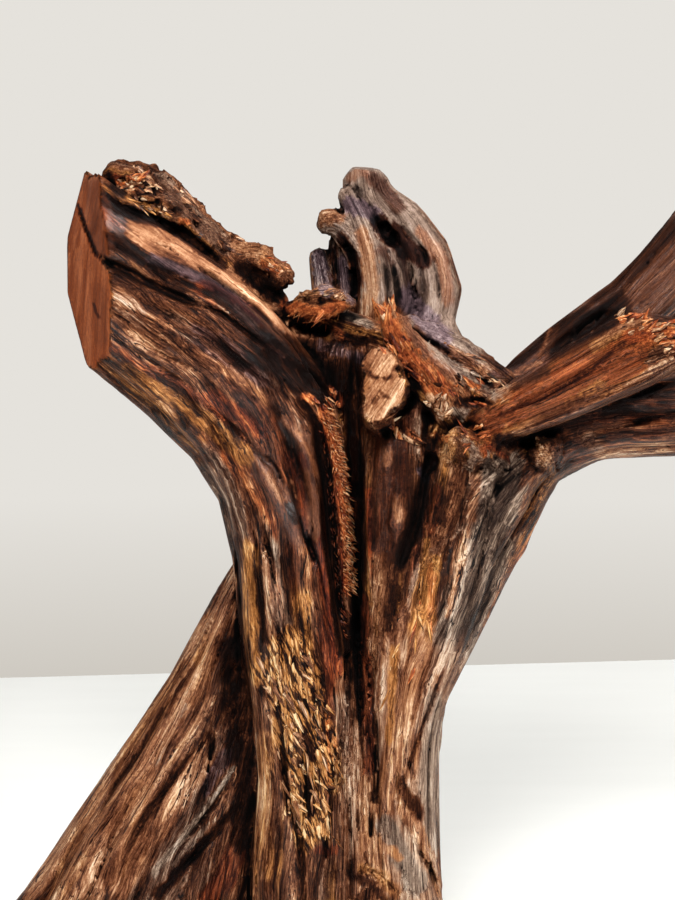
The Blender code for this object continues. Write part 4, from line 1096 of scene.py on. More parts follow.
    ("driftgrey", 6, 0.4, ((462, 528), (440, 545), (420, 565), (411, 590), (409, 618))),
    ("blond", 6, 0.8, ((410, 640), (398, 650), (396, 690))),
    ("dark", 7, 0.8, ((394, 590), (390, 625), (384, 660))),
    ("rough", 10, 0.7, ((398, 575), (392, 612))),
    ("blond", 8, 0.9, ((250, 548), (250, 600), (252, 650), (256, 680))),
    ("honey", 11, 0.9, ((250, 552), (251, 610), (254, 670))),
    ("tan", 5, 0.7, ((264, 540), (268, 600), (274, 660), (278, 690))),
    ("dark", 4, 0.8, ((236, 540), (239, 600), (240, 640))),
    ("dark", 4, 0.8, ((258, 545), (261, 600), (264, 640))),
    ("tan", 4, 0.6, ((231, 560), (233, 610), (238, 660))),
    ("grey", 8, 0.4, ((276, 545), (286, 590), (294, 640))),
    ("driftgrey", 5, 0.35, ((272, 540), (280, 565))),
    ("dark", 9, 0.6, ((286, 560), (296, 610), (312, 650), (330, 690))),
    # the lower trunk
    ("flaked", 30, 1.0, ((274, 670), (292, 715), (302, 770), (308, 830))),
    ("flaked", 22, 1.0, ((290, 645), (310, 690), (320, 740), (328, 780))),
    ("blond", 16, 0.7, ((266, 740), (262, 800), (262, 870))),
    ("blond", 4, 0.7, ((290, 748), (300, 760))),
    ("black", 6, 0.9, ((262, 690), (272, 700), (276, 712))),
    ("black", 5, 1.0, ((304, 735), (312, 758))),
    ("black", 5, 1.0, ((300, 765), (308, 790), (312, 812))),
    ("dark", 5, 0.9, ((284, 735), (286, 780), (290, 812), (300, 840), (303, 890))),
    ("rust", 8, 0.6, ((318, 850), (335, 850))),
    ("taupe", 70, 0.9, TRUNK_FOOT),
    ("calm", 70, 0.7, TRUNK_FOOT),
    ("taupe", 15, 0.4, ((346, 690), (348, 770), (354, 850))),
    ("mahogany", 8, 0.75, ((366, 660), (368, 690), (370, 740), (368, 790))),
    ("tan", 7, 0.8, ((368, 780), (366, 820), (364, 850))),
    ("tan", 14, 0.8, ((420, 650), (402, 725), (388, 785), (372, 862))),
    ("honey", 5, 0.5, ((394, 650), (392, 700), (388, 740))),
    ("dark", 3, 0.6, TRUNK_CRACK),
    ("driftgrey", 12, 0.6, ((434, 700), (430, 780), (438, 860))),
    ("warm", 8, 0.6, ((414, 740), (410, 775))),
    ("dark", 9, 0.75, ((401, 786), (408, 798), (417, 814))),
    ("grey", 14, 0.7, ((386, 826), (398, 846), (416, 882))),
    ("tan", 8, 0.8, ((402, 808), (418, 832), (432, 862), (442, 892))),
    ("blond", 6, 0.7, ((392, 850), (400, 858))),
    ("blond", 8, 0.7, ((362, 868), (380, 876), (396, 892))),
    ("dark", 5, 0.8, ((352, 876), (370, 884), (384, 898))),
    ("dark", 5, 0.6, ((300, 860), (298, 898))),
    ("warm", 14, 0.6, ((250, 850), (252, 895))),
    # the leg
    ("grey", 8, 0.9, ((208, 600), (176, 660), (150, 704))),
    ("blond", 6, 0.8, ((200, 618), (180, 655), (160, 700), (134, 736), (112, 770))),
    ("honey", 9, 0.9, ((204, 640), (200, 662))),
    ("warm", 14, 0.7, ((212, 620), (206, 670), (196, 700))),
    ("dark", 9, 0.8, ((186, 668), (168, 700), (142, 740), (118, 776))),
    ("driftgrey", 6, 0.8, ((184, 706), (170, 730), (154, 765))),
    ("tan", 6, 0.8, ((212, 700), (192, 730), (172, 760), (150, 790), (132, 822))),
    ("warm", 14, 0.8, ((138, 780), (110, 820), (80, 860), (60, 890))),
    ("orange", 7, 0.6, ((104, 790), (80, 830), (60, 870), (48, 892))),
    ("driftgrey", 6, 0.8, ((116, 826), (98, 856), (84, 886))),
    ("dark", 7, 0.8, ((206, 736), (180, 770), (152, 810), (134, 836), (112, 880))),
    ("tan", 14, 0.7, ((205, 762), (175, 805), (145, 845), (120, 890))),
    ("violet", 9, 0.5, ((225, 755), (205, 790))),
    ("tan", 44, 0.68, LEG_MIDDLE),
    ("calm", 60, 0.5, LEG_MIDDLE),
    # Painted highlights on the leg's ridges.
    ("driftgrey", 4, 0.9, ((234, 768), (208, 806), (180, 840), (156, 872))),
    ("driftgrey", 4, 0.7, ((214, 820), (196, 840), (172, 866))),
    ("black", 6, 1.0, LEG_CRACK),
    ("mahogany", 16, 0.8, ((236, 850), (220, 880), (208, 898))),
    # Painted shade in the hollow between the leg and the trunk.
    ("black", 18, 1.0, ((232, 650), (238, 700), (242, 750))),
    ("black", 12, 0.9, ((246, 750), (244, 800), (240, 840))),
)
# Patches of the wood's own colours: channel, seed, strength, width, length, and
# the noise where they start and where they are full
PATCHES = (
    ("honey", 61, 0.7, 15, 110, 0.12, 0.42),
    ("rust", 67, 0.45, 18, 120, 0.12, 0.45),
    ("grey", 71, 0.45, 18, 120, 0.10, 0.40),
)
CHANNELS = ("tone", "honey", "rust", "grey", "violet", "sawn", "flakes", "rough", "varnish")


def on_cut(points, normals, point, outward, reach):
    """Which points lie on the face of a cut."""
    outward = np.array(outward) / np.linalg.norm(outward)
    away = points - np.array(point)
    flat = (np.abs(away @ outward) < CUT_NEAR) & (normals @ outward > CUT_FACING)
    return flat & (np.linalg.norm(away, axis=1) < CUT_REACH * reach)


def turn_cut_grain(points, faces, places):
    """On a cut face the fine lines run across the cut, as its saw marks do."""
    tips = points[faces]
    normals = np.cross(tips[:, 1] - tips[:, 0], tips[:, 2] - tips[:, 0])
    normals /= np.maximum(np.linalg.norm(normals, axis=1), 1e-9)[:, None]
    for point, outward, reach, name in CUTS.values():
        if not name.startswith("sawn"):
            continue
        on = np.nonzero(np.repeat(on_cut(tips.mean(axis=1), normals, point, outward, reach), 3))[0]
        side = np.cross((0.5, 0.0, 0.85), outward)
        axes = np.array((side, outward, np.cross(outward, side)))
        axes /= np.linalg.norm(axes, axis=1)[:, None]
        places[on] = points[faces.ravel()[on]] @ axes.T


def paint(points, normals, grain):
    """The colour channels at each point: the wood's own patches, then the strokes."""
    place = on_reference(grain)
    streak = Noise(59)
    channels = {name: np.zeros(len(points)) for name in CHANNELS}
    channels["tone"] = 0.30 * Noise(53).layers(place, 16, 90, 3) + 0.2 * streak.layers(place, 5, 60, 2)
    for name, seed, most, wide, long, low, high in PATCHES:
        channels[name] = most * smooth_step(Noise(seed).layers(place, wide, long, 2), low, high)
    sawn = np.zeros(len(points), bool)
    for point, outward, reach, name in CUTS.values():
        on = on_cut(points, normals, point, outward, reach)
        sawn |= on & name.startswith("sawn")
        for channel, value in PAINTS[name].items():
            channels[channel][on] = value
    seen = front_view(points)
    towards = np.array(VIEW_EYE) - points
    towards /= np.linalg.norm(towards, axis=1)[:, None]
    facing = smooth_step((towards * normals).sum(1), -0.05, 0.25)
    ragged = 1.0 + 0.7 * streak.layers(place, 4, 30, 3, 0.6)
    for name, width, strength, line in STROKES:
        near, gap, _ = near_stroke(seen, facing, line, PAINT_REACH * width)
        amount = strength * facing[near] * (1 - smooth_step(gap * ragged[near], 0.55 * width, 0.95 * width))
        if not name.startswith("sawn"):
            amount = np.where(sawn[near], 0.0, amount)
        for channel, value in PAINTS[name].items():
            channels[channel][near] += (value - channels[channel][near]) * amount
    return channels


def shade_smooth(mesh):
    """Show a mesh without its facets."""
    mesh.polygons.foreach_set("use_smooth", np.ones(len(mesh.polygons), bool))


def add_channel(mesh, name, values, domain="POINT"):
    """A number at every point or corner of a mesh, for its material to read."""
    kind, field = ("FLOAT_VECTOR", "vector") if np.ndim(values) == 2 else ("FLOAT", "value")
    attribute = mesh.attributes.new(name, kind, domain)
    attribute.data.foreach_set(field, np.ravel(values).astype(np.float32))


def dress_skin(piece, field, grain):
    """Give the skin its grain, its colours and its depth of crevice, by which the material paints shade into
    it.
    """
    mesh = piece.data
    points, normals = read_points(mesh)
    faces = np.zeros(len(mesh.loops), np.int32)
    mesh.loops.foreach_get("vertex_index", faces)
    faces = faces.reshape(-1, 3)
    centres = points[faces].mean(axis=1) - normals[faces].mean(axis=1) * AXIS_DEPTH
    cells = np.clip(np.rint((centres - field.low) / field.cell).astype(int), 0, field.count - 1)
    face_axis = field.axis[cells[:, 0], cells[:, 1], cells[:, 2]]
    corner_axis = np.repeat(face_axis, 3)
    corners = faces.ravel()
    places = np.zeros((len(corners), 3), np.float32)
    point_places = np.zeros((len(points), 3), np.float32)
    for axis in np.unique(face_axis):
        mine = np.nonzero(corner_axis == axis)[0]
        used, back = np.unique(corners[mine], return_inverse=True)
        found = grain.at(points[used], np.full(len(used), axis))
        places[mine] = found[back]
        point_places[used] = found
    turn_cut_grain(points, faces, places)
    # How deep each point lies in a crevice; the material darkens the colour by it as painted shade.
    near = 1 - sample(field, points + normals * CREVICE_NEAR) / CREVICE_NEAR
    far = 1 - sample(field, points + normals * CREVICE_FAR) / CREVICE_FAR
    deep = 1 + sample(field, points - normals * RIDGE_DEEP) / RIDGE_DEEP
    crevice = 0.7 * np.clip(near, 0, 1) + 0.65 * np.clip(far, 0, 1) ** 1.5
    point_lumpy = np.zeros(len(points))
    point_lumpy[corners] = lumpiness()[corner_axis]
    channels = paint(points, normals, point_places)
    channels["rough"] = np.maximum(channels["rough"], point_lumpy)
    for name, values in channels.items():
        add_channel(mesh, name, values)
    add_channel(mesh, "crevice", np.clip(crevice, 0, 1))
    add_channel(mesh, "ridge", np.clip(deep, 0, 1))
    add_channel(mesh, "grain", places, "CORNER")
    mesh.vertices.foreach_set("co", (points * UNIT).ravel())
    shade_smooth(mesh)
    mesh.update()


# Material
class Nodes:
    """Short ways to lay out the nodes of a material or a world."""

    def __init__(self, owner):
        owner.use_nodes = True
        self.tree = owner.node_tree
        self.tree.nodes.clear()

    def add(self, kind, inputs=(), **settings):
        """A node with its settings and its inputs, each a number or another node's socket."""
        node = self.tree.nodes.new(kind)
        for name, value in settings.items():
            setattr(node, name, value)
        for name, value in dict(inputs).items():
            socket = node.inputs[name]
            if isinstance(value, bpy.types.NodeSocket):
                self.tree.links.new(value, socket)
            else:
                socket.default_value = value
        return node

    def attribute(self, name, output="Fac"):
        return self.add("ShaderNodeAttribute", attribute_name=name).outputs[output]

    def math(self, operation, *values, clamp=False):
        return self.add("ShaderNodeMath", enumerate(values), operation=operation, use_clamp=clamp).outputs[0]

    def vector(self, operation, *values):
        return self.add("ShaderNodeVectorMath", enumerate(values), operation=operation).outputs[0]

    def centred(self, value):
        """A noise value, moved so that its middle is 0."""
        return self.math("SUBTRACT", value, 0.5)

    def total(self, start, *terms, clamp=False):
        """Start and all terms, each a value and its factor. Only the whole is clamped."""
        for number, (value, factor) in enumerate(terms, 1):
            start = self.math("MULTIPLY_ADD", value, factor, start, clamp=clamp and number == len(terms))
        return start

    def noise(self, vector, stretch, detail, roughness, output="Fac"):
        inputs = {"Vector": self.vector("MULTIPLY", vector, stretch), "Scale": 1.0, "Detail": detail,
                  "Roughness": roughness}
        return self.add("ShaderNodeTexNoise", inputs).outputs[output]

    def step(self, value, low, high, to_low=0.0, to_high=1.0):
        inputs = {"Value": value, "From Min": low, "From Max": high, "To Min": to_low, "To Max": to_high}
        return self.add("ShaderNodeMapRange", inputs, interpolation_type="SMOOTHSTEP").outputs["Result"]

    def ramp(self, value, stops):
        node = self.add("ShaderNodeValToRGB", {"Fac": value})
        while len(node.color_ramp.elements) < len(stops):
            node.color_ramp.elements.new(0.5)
        for element, (place, colour) in zip(node.color_ramp.elements, stops):
            element.position = place
            element.color = (*colour, 1.0)
        return node.outputs["Color"]

    def mix(self, amount, a, b, blend="MIX"):
        settings = {"data_type": "RGBA", "blend_type": blend, "clamp_factor": True}
        return self.add("ShaderNodeMix", {0: amount, 6: a, 7: b}, **settings).outputs[2]


# Colours of each wood from its darkest to its lightest level
BROWN = ((0.0, (0.004, 0.0012, 0.0008)), (0.28, (0.028, 0.0075, 0.003)), (0.5, (0.108, 0.033, 0.0135)),
         (0.7, (0.29, 0.118, 0.054)), (0.88, (0.56, 0.315, 0.175)), (1.0, (0.80, 0.57, 0.39)))
HONEY = ((0.0, (0.006, 0.002, 0.001)), (0.28, (0.046, 0.013, 0.0035)), (0.5, (0.185, 0.064, 0.016)),
         (0.7, (0.44, 0.175, 0.047)), (0.88, (0.72, 0.37, 0.135)), (1.0, (0.86, 0.62, 0.33)))
RUST = ((0.0, (0.007, 0.0013, 0.001)), (0.28, (0.050, 0.0075, 0.003)), (0.5, (0.18, 0.030, 0.009)),
        (0.7, (0.42, 0.098, 0.026)), (0.88, (0.70, 0.26, 0.082)), (1.0, (0.85, 0.50, 0.26)))
GREY = ((0.0, (0.005, 0.0035, 0.003)), (0.28, (0.030, 0.016, 0.011)), (0.5, (0.104, 0.064, 0.045)),
        (0.7, (0.29, 0.20, 0.145)), (0.88, (0.53, 0.405, 0.31)), (1.0, (0.75, 0.62, 0.51)))
# Violet: the purple-brown of the wood, and partly a painted sheen, the pale room seen in the varnish.
VIOLET = ((0.0, (0.004, 0.003, 0.004)), (0.28, (0.026, 0.014, 0.017)), (0.5, (0.092, 0.056, 0.062)),
          (0.7, (0.25, 0.17, 0.175)), (0.88, (0.47, 0.37, 0.365)), (1.0, (0.69, 0.59, 0.56)))


OVER_BROWN = (("grey", GREY), ("violet", VIOLET), ("honey", HONEY), ("rust", RUST))
FLAKE_SLANT = math.radians(24.0)


class VarnishedWood(Nodes):
    """Root wood under an old patchy varnish, with streaks, cracks and checks along the grain."""

    def __init__(self, material):
        super().__init__(material)
        self.tone, self.crevice, self.ridge = map(self.attribute, ("tone", "crevice", "ridge"))
        self.sawn, self.flakes, self.rough = map(self.attribute, ("sawn", "flakes", "rough"))
        straight = self.attribute("grain", "Vector")
        sway = self.noise(straight, (0.06, 0.06, 0.018), 2.0, 0.5, "Color")
        sway = self.vector("SUBTRACT", sway, (0.5, 0.5, 0.5))
        grain = self.vector("ADD", self.vector("MULTIPLY", sway, (12.0, 12.0, 0.0)), straight)
        place = self.add("ShaderNodeTexCoord").outputs["Object"]
        place = self.vector("MULTIPLY", place, (1 / UNIT, 1 / UNIT, 1 / UNIT))
        self.streaks = self.noise(grain, (0.38, 0.38, 0.02), 7.0, 0.68)
        self.fibres = self.noise(grain, (1.6, 1.6, 0.10), 4.0, 0.75)
        self.specks = self.noise(place, (0.85, 0.85, 0.6), 4.0, 0.75)
        self.blotch = self.noise(grain, (0.12, 0.12, 0.022), 3.0, 0.6)
        quiet = self.math("MULTIPLY", self.sawn, 0.88)
        quiet = self.math("MAXIMUM", quiet, self.math("MULTIPLY", self.rough, 0.45))
        self.strength = self.math("SUBTRACT", 1.0, quiet)
        lines = self.noise(grain, (0.5, 0.5, 0.012), 1.5, 0.5)
        crack = self.step(self.math("ABSOLUTE", self.centred(lines)), 0.006, 0.022, 1.0, 0.0)
        crack = self.math("MULTIPLY", crack, self.step(self.blotch, 0.44, 0.6))
        self.crack = self.math("MULTIPLY", crack, self.strength)
        slant = {"Vector": grain, "Axis": (0.0, 1.0, 0.0), "Angle": FLAKE_SLANT}
        slant = self.add("ShaderNodeVectorRotate", slant).outputs[0]
        flake = self.noise(slant, (0.62, 0.45, 0.085), 3.5, 0.62)
        self.flake = self.step(flake, 0.42, 0.56, -0.42, 0.22)

    def level(self):
        """How light the wood is, from 0 to 1."""
        level = self.math("MULTIPLY", self.centred(self.streaks), 1.8)
        level = self.total(level, (self.centred(self.fibres), 1.4))
        level = self.math("SUBTRACT", level, self.step(self.streaks, 0.33, 0.42, 0.3, 0.0))
        level = self.math("MULTIPLY", level, self.strength)
        speckle = self.math("MULTIPLY_ADD", self.rough, 0.6, 0.35)
        patches = self.math("MULTIPLY_ADD", self.strength, 0.9, 0.4)
        level = self.total(level, (self.centred(self.specks), speckle), (self.centred(self.blotch), patches))
        level = self.math("ADD", level, 0.43)
        # The depth of a crevice also lowers the level: painted shade.
        return self.total(level, (self.tone, 0.35), (self.ridge, 0.12), (self.flakes, self.flake),
                          (self.crack, -0.6), (self.crevice, -0.5), clamp=True)

    def colour(self, level):
        """Brown, with the other woods where they are painted, and darkened in the crevices as painted shade.
        """
        edge = self.math("MULTIPLY", self.centred(self.streaks), self.math("MULTIPLY", self.strength, 1.2))
        colour = self.ramp(level, BROWN)
        for name, stops in OVER_BROWN:
            painted = self.attribute(name)
            amount = self.step(self.math("ADD", painted, edge), 0.2, 0.8)
            amount = self.math("MULTIPLY", amount, self.step(painted, 0.0, 0.15))
            colour = self.mix(amount, colour, self.ramp(level, stops))
        # Painted shade: the colour darkens with the depth of a crevice.
        painted_shade = self.step(self.crevice, 0.12, 0.85, 1.0, 0.05)
        painted_shade = self.add("ShaderNodeCombineColor", {"Red": painted_shade, "Green": painted_shade, "Blue": painted_shade}).outputs[0]
        return self.mix(1.0, colour, painted_shade, "MULTIPLY")

    def dullness(self, level):
        """The roughness of the wood under its varnish."""
        return self.total(0.30, (self.centred(self.blotch), 0.9), (self.centred(self.fibres), 0.6),
                          (self.sawn, 0.1), (self.rough, 0.25), (level, 0.25), (self.crevice, 0.5),
                          clamp=True)

    def bump(self):
        """The fine relief of streaks, cracks, specks and flakes."""
        height = self.total(self.math("MULTIPLY", self.fibres, 0.6), (self.streaks, 1.3), (self.crack, -0.5))
        height = self.math("MULTIPLY", height, self.strength)
        speckle = self.math("MULTIPLY_ADD", self.rough, 1.2, 0.15)
        flaking = self.math("MULTIPLY", self.flakes, self.flake)
        height = self.total(height, (self.specks, speckle), (flaking, 0.6))
        return self.add("ShaderNodeBump", {"Strength": 0.85, "Distance": 0.0014, "Height": height}).outputs[0]

    def varnish(self):
        """How much varnish is left."""
        hollow = self.math("ADD", self.crevice, self.rough)
        return self.total(0.26, (self.centred(self.blotch), 2.0), (self.attribute("varnish"), 0.65),
                          (self.ridge, 0.3), (hollow, -1.1), (self.attribute("grey"), -0.3), clamp=True)


def varnished_wood():
    """The material of the skin and of all the loose wood on it."""
    material = bpy.data.materials.new(WOOD_MATERIAL)
    wood = VarnishedWood(material)
    level, bump = wood.level(), wood.bump()
    shader = wood.add("ShaderNodeBsdfPrincipled", {
        "Base Color": wood.colour(level), "Roughness": wood.dullness(level), "Normal": bump,
        "Specular IOR Level": 0.05, "Coat Weight": wood.varnish(), "Coat Roughness": 0.13,
        "Coat IOR": 1.5, "Coat Normal": bump}).outputs[0]
    wood.add("ShaderNodeOutputMaterial", {"Surface": shader})
    return material


# Shards
# Loose wood on the skin: paints, count, line on the front view, spread across
# it, run (right, down), lift off the skin, shortest and longest, width and
# thickness
SPLINTERS = (
    (("orange", "torn", "tan"), 14, ((384, 322), (388, 314), (392, 324)),
     5, (-0.15, -1.0), 0.2, (6, 13), 2.0, 0.8),
    (("orange", "torn", "rust"), 22, ((394, 340), (408, 360), (424, 380), (440, 396)),
     13, (-0.5, -0.9), 0.15, (6, 13), 2.0, 0.6),
    (("rust", "torn", "dark"), 20, ((440, 376), (462, 388), (486, 398)),
     11, (-0.8, -0.6), 0.15, (5, 10), 1.8, 0.6),
    (("tan", "driftgrey", "brown"), 13, ((424, 334), (450, 350), (478, 370), (500, 392)),
     9, (0.8, 0.6), 0.08, (7, 15), 1.3, 0.5),
    (("orange", "torn"), 8, ((290, 304), (304, 312), (322, 318), (338, 310)),
     5, (-0.7, 0.5), 0.05, (5, 10), 1.2, 0.5),
    (("tan", "warm"), 6, ((296, 296), (318, 290), (340, 298)),
     4, (0.8, -0.1), 0.02, (5, 9), 2.6, 0.5),
    (("orange", "torn wood"), 18, ((470, 432), (474, 440), (486, 432)),
     6, (-0.9, 0.25), 0.15, (6, 13), 1.6, 0.8),
    (("rust", "orange", "tan"), 46, ((618, 330), (640, 326), (660, 334), (670, 350)),
     12, (0.85, -0.3), 0.35, (4, 9), 1.6, 0.7),
    (("orange", "tan"), 20, ((116, 180), (126, 186), (136, 182)),
     7, (0.6, -0.4), 0.3, (4, 8), 2.0, 0.7),
    (("honey", "tan"), 16, ((124, 197), (145, 206), (166, 216)),
     4, (0.8, 0.5), 0.2, (5, 10), 1.2, 0.5),
    (("pale", "tan"), 16, ((432, 400), (438, 408), (442, 418)),
     6, (0.3, -0.8), 0.4, (4, 8), 2.0, 0.8),
    (("orange", "tan", "dark"), 18, ((386, 420), (402, 430), (416, 440)),
     6, (0.8, 0.5), 0.25, (5, 10), 1.6, 0.7),
    (("orange", "rust"), 14, ((304, 396), (312, 401), (334, 392), (340, 402)),
     5, (0.5, 0.7), 0.4, (3, 6), 1.6, 0.6),
    (("tan", "rust"), 12, ((262, 262), (274, 266), (284, 272)),
     7, (0.8, 0.3), 0.3, (3, 7), 1.3, 0.6),
)
FIBRES = (
    (("ember", "rust", "ember"), 760,
     ((325, 408), (334, 440), (341, 475), (345, 510), (347, 545), (350, 590)),
     6, (0.8, 0.5), 0.7, (2, 5), 0.34, 0.34),
    (("black", "mahogany"), 200, ((320, 420), (329, 470), (334, 530), (340, 590), (347, 640)),
     4, (0.7, 0.6), 0.6, (2, 5), 0.34, 0.34),
    (("orange", "torn"), 26, ((288, 304), (304, 314), (324, 320), (338, 312)),
     4, (-0.6, 0.6), 0.4, (3, 7), 0.22, 0.22),
    (("torn", "rust"), 50, ((396, 345), (416, 372), (440, 392), (470, 396)),
     12, (-0.3, -0.8), 0.6, (3, 7), 0.34, 0.34),
)
FLAKES = (
    (("blond", "honey", "tan", "warm"), 130, ((272, 660), (290, 705), (302, 760), (312, 830)),
     24, (0.42, 0.9), 0.06, (4, 13), 1.45, 0.4),
    (("honey", "warm", "black"), 70, ((296, 650), (312, 690), (322, 740), (328, 780)),
     12, (0.42, 0.9), 0.06, (4, 11), 1.3, 0.4),
    (("pale", "blond"), 12, ((286, 735), (300, 765), (300, 800)),
     14, (0.75, 0.65), 0.2, (4, 8), 0.9, 0.4),
    (("brown", "dark", "tan"), 50, ((128, 176), (160, 192), (195, 218), (240, 250)),
     14, (0.75, 0.65), 0.1, (4, 9), 2.4, 0.7),
    (("tan", "blond"), 10, ((396, 640), (392, 700), (386, 760)),
     5, (-0.1, 1.0), 0.05, (7, 16), 0.9, 0.4),
    (("honey", "orange"), 16, ((430, 570), (424, 620), (420, 680)),
     8, (-0.15, 1.0), 0.07, (6, 14), 1.2, 0.5),
)
SHARD_RINGS = (0.0, 0.25, 0.5, 0.72, 0.9)
SHARD_RIDGE = 0.3
SHARD_BEND = 0.12
SHARD_RAGGED = 0.16           # how much its width comes and goes
SHARD_STRAY = 0.22            # how much its direction strays
SHARD_SIZES = (0.6, 1.25)
SHARD_TONES = 0.25
SUNK = 0.8                    # thicknesses that a shard's root lies under the skin
ROOTED = 0.15                 # share of its length behind its place


class Shards:
    """A mesh of tapered shards that stand or lie on the skin."""

    def __init__(self, skin, sides, seed):
        self.tree = BVHTree.FromPolygons([v.co / UNIT for v in skin.data.vertices],
                                         [tuple(face.vertices) for face in skin.data.polygons])
        self.sides = sides
        self.random = np.random.default_rng(seed)
        self.points, self.faces, self.places, self.paints = [], [], [], []

    def seen_on_skin(self, right, down):
        """The skin's point and normal where the front view shows them, or None."""
        across = Vector((1, 0, 0)) * ((right - VIEW_CENTRE[0]) / VIEW_SQUARES)
        upward = Vector(VIEW_UP) * ((down - VIEW_CENTRE[1]) / VIEW_SQUARES)
        ray = Vector(VIEW_AHEAD) + across - upward
        place, normal, _, _ = self.tree.ray_cast(Vector(VIEW_EYE), ray.normalized())
        return (place, normal) if place else None

    def add(self, root, run, side, length, width, thickness, paint):
        """One shard: a flattened, bent taper with a ragged edge."""
        deep = run.cross(side).normalized()
        bend = self.random.normal(0.0, SHARD_BEND)
        first = len(self.points)
        shift = self.random.random(3) * 200
        for t in SHARD_RINGS:
            taper = 1.0 - t ** 2.2
            middle = root + run * (length * t) + deep * (bend * length * t * t)
            for k in range(self.sides):
                angle = 2 * math.pi * k / self.sides
                ragged = 1.0 + self.random.normal(0.0, SHARD_RAGGED)
                across = math.cos(angle) * width * taper * ragged
                through = math.sin(angle) * thickness * taper * ragged
                self.points.append(middle + side * across + deep * through)
                self.places.append((across + shift[0], through + shift[1], length * t + shift[2]))
                self.paints.append(paint)
        self.points.append(root + run * length + deep * (bend * length))
        self.places.append((shift[0], shift[1], length + shift[2]))
        self.paints.append(paint)
        for ring in range(len(SHARD_RINGS) - 1):
            for k in range(self.sides):
                start = first + ring * self.sides
                a, b = start + k, start + (k + 1) % self.sides
                self.faces.append((a, b, b + self.sides, a + self.sides))
        last = first + (len(SHARD_RINGS) - 1) * self.sides
        tip = last + self.sides
        self.faces.extend((last + k, last + (k + 1) % self.sides, tip) for k in range(self.sides))
        self.faces.append(tuple(first + k for k in reversed(range(self.sides))))

    def scatter(self, row):
        """The shards of one row of a table."""
        paints, count, line, spread, (right, down), lift, (shortest, longest), width, thickness = row
        for number in range(count):
            here = spline_point([(*p, 0.0) for p in line], self.random.random())
            found = self.seen_on_skin(here[0] + self.random.uniform(-spread, spread),
                                      here[1] + self.random.uniform(-spread, spread))
            if not found:
                continue
            place, normal = found
            run = Vector((right, 0.0, -down)) + Vector(self.random.normal(0.0, SHARD_STRAY, 3))
            run -= normal * run.dot(normal)
            run = (run.normalized() + normal * lift * self.random.uniform(0.5, 1.5)).normalized()
            side = run.cross(normal).normalized()
            size = self.random.uniform(*SHARD_SIZES)
            length = self.random.uniform(shortest, longest)
            root = place - normal * thickness * SUNK - run * ROOTED * length
            self.add(root, run, side, length, width * size, thickness * size, paints[number % len(paints)])

    def finish(self, name):
        """The shards as one object, with the channels that the wood's material reads."""
        mesh = bpy.data.meshes.new(name)
        mesh.from_pydata([tuple(p * UNIT) for p in self.points], [], self.faces)
        for channel in CHANNELS:
            jitter = SHARD_TONES * self.random.standard_normal(len(self.points)) if channel == "tone" else 0.0
            add_channel(mesh, channel, np.array([PAINTS[p].get(channel, 0.0) for p in self.paints]) + jitter)
        add_channel(mesh, "crevice", np.zeros(len(self.points)))
        add_channel(mesh, "ridge", np.full(len(self.points), SHARD_RIDGE))
        add_channel(mesh, "grain", np.array(self.places))
        shade_smooth(mesh)
        mesh.materials.append(bpy.data.materials[WOOD_MATERIAL])
        piece = bpy.data.objects.new(name, mesh)
        bpy.context.collection.objects.link(piece)
        return piece


def loose_wood(name, rows, sides, seed):
    """Grow one group of loose wood on the finished skin."""
    skin = bpy.data.objects.get("wood_skin")
    if skin is None:
        raise RuntimeError("The skin has to be grown first")
    shards = Shards(skin, sides, seed)
    for row in rows:
        shards.scatter(row)
    piece = shards.finish(name)
    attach(piece, "root")


# Stage
TABLE_REACH = 3.0
TABLE_THICK = 0.03
TABLE_BACK = 0.61             # how far behind the wood the table ends
TABLE_TURN = math.radians(6.0)
TABLE_TINTS = ((0.3, (0.885, 0.895, 0.875)), (0.7, (0.905, 0.915, 0.895)))
# The wall shown behind the wood is darker towards its bottom: painted shade.
WALL_SHADE_TINTS = ((0.365, (0.61, 0.575, 0.52)), (0.418, (0.80, 0.775, 0.73)))
WALL_LIGHT = 0.98
LIGHT_TINT = (1.0, 0.985, 0.96)
LIGHT_AIM = (0.0, 0.0, 0.25)
LENS = 72.0

# Soft lights: name, place, width and height, and share of the window light's power
LIGHTS = (
    ("window", (-0.15, -1.0, 1.15), (0.5, 0.35), 1.0),
    ("ceiling", (0.65, 0.1, 1.4), (0.6, 0.6), 0.75),
    ("side", (1.1, -0.8, 0.7), (0.35, 0.7), 0.3),
)


def white_table():
    """A white table that ends behind the wood."""
    cos, sin = math.cos(TABLE_TURN), math.sin(TABLE_TURN)
    outline = ((-TABLE_REACH, -TABLE_REACH), (TABLE_REACH, -TABLE_REACH),
               (TABLE_REACH, 0.0), (-TABLE_REACH, 0.0))
    corners = [(x * cos - y * sin, x * sin + y * cos + TABLE_BACK, z)
               for z in (-TABLE_THICK, 0.0) for x, y in outline]
    table = bpy.data.meshes.new("table")
    sides = [(k, (k + 1) % 4, (k + 1) % 4 + 4, k + 4) for k in range(4)]
    table.from_pydata(corners, [], [(3, 2, 1, 0), (4, 5, 6, 7), *sides])
    board = bpy.data.objects.new("table", table)
    bpy.context.collection.objects.link(board)
    material = bpy.data.materials.new("white_table")
    nodes = Nodes(material)
    cloud = nodes.noise(nodes.add("ShaderNodeTexCoord").outputs["Object"], (6.0, 40.0, 6.0), 4.0, 0.55)
    tint = nodes.ramp(cloud, TABLE_TINTS)
    shader = nodes.add("ShaderNodeBsdfPrincipled", {"Base Color": tint, "Roughness": 0.55}).outputs[0]
    nodes.add("ShaderNodeOutputMaterial", {"Surface": shader})
    table.materials.append(material)


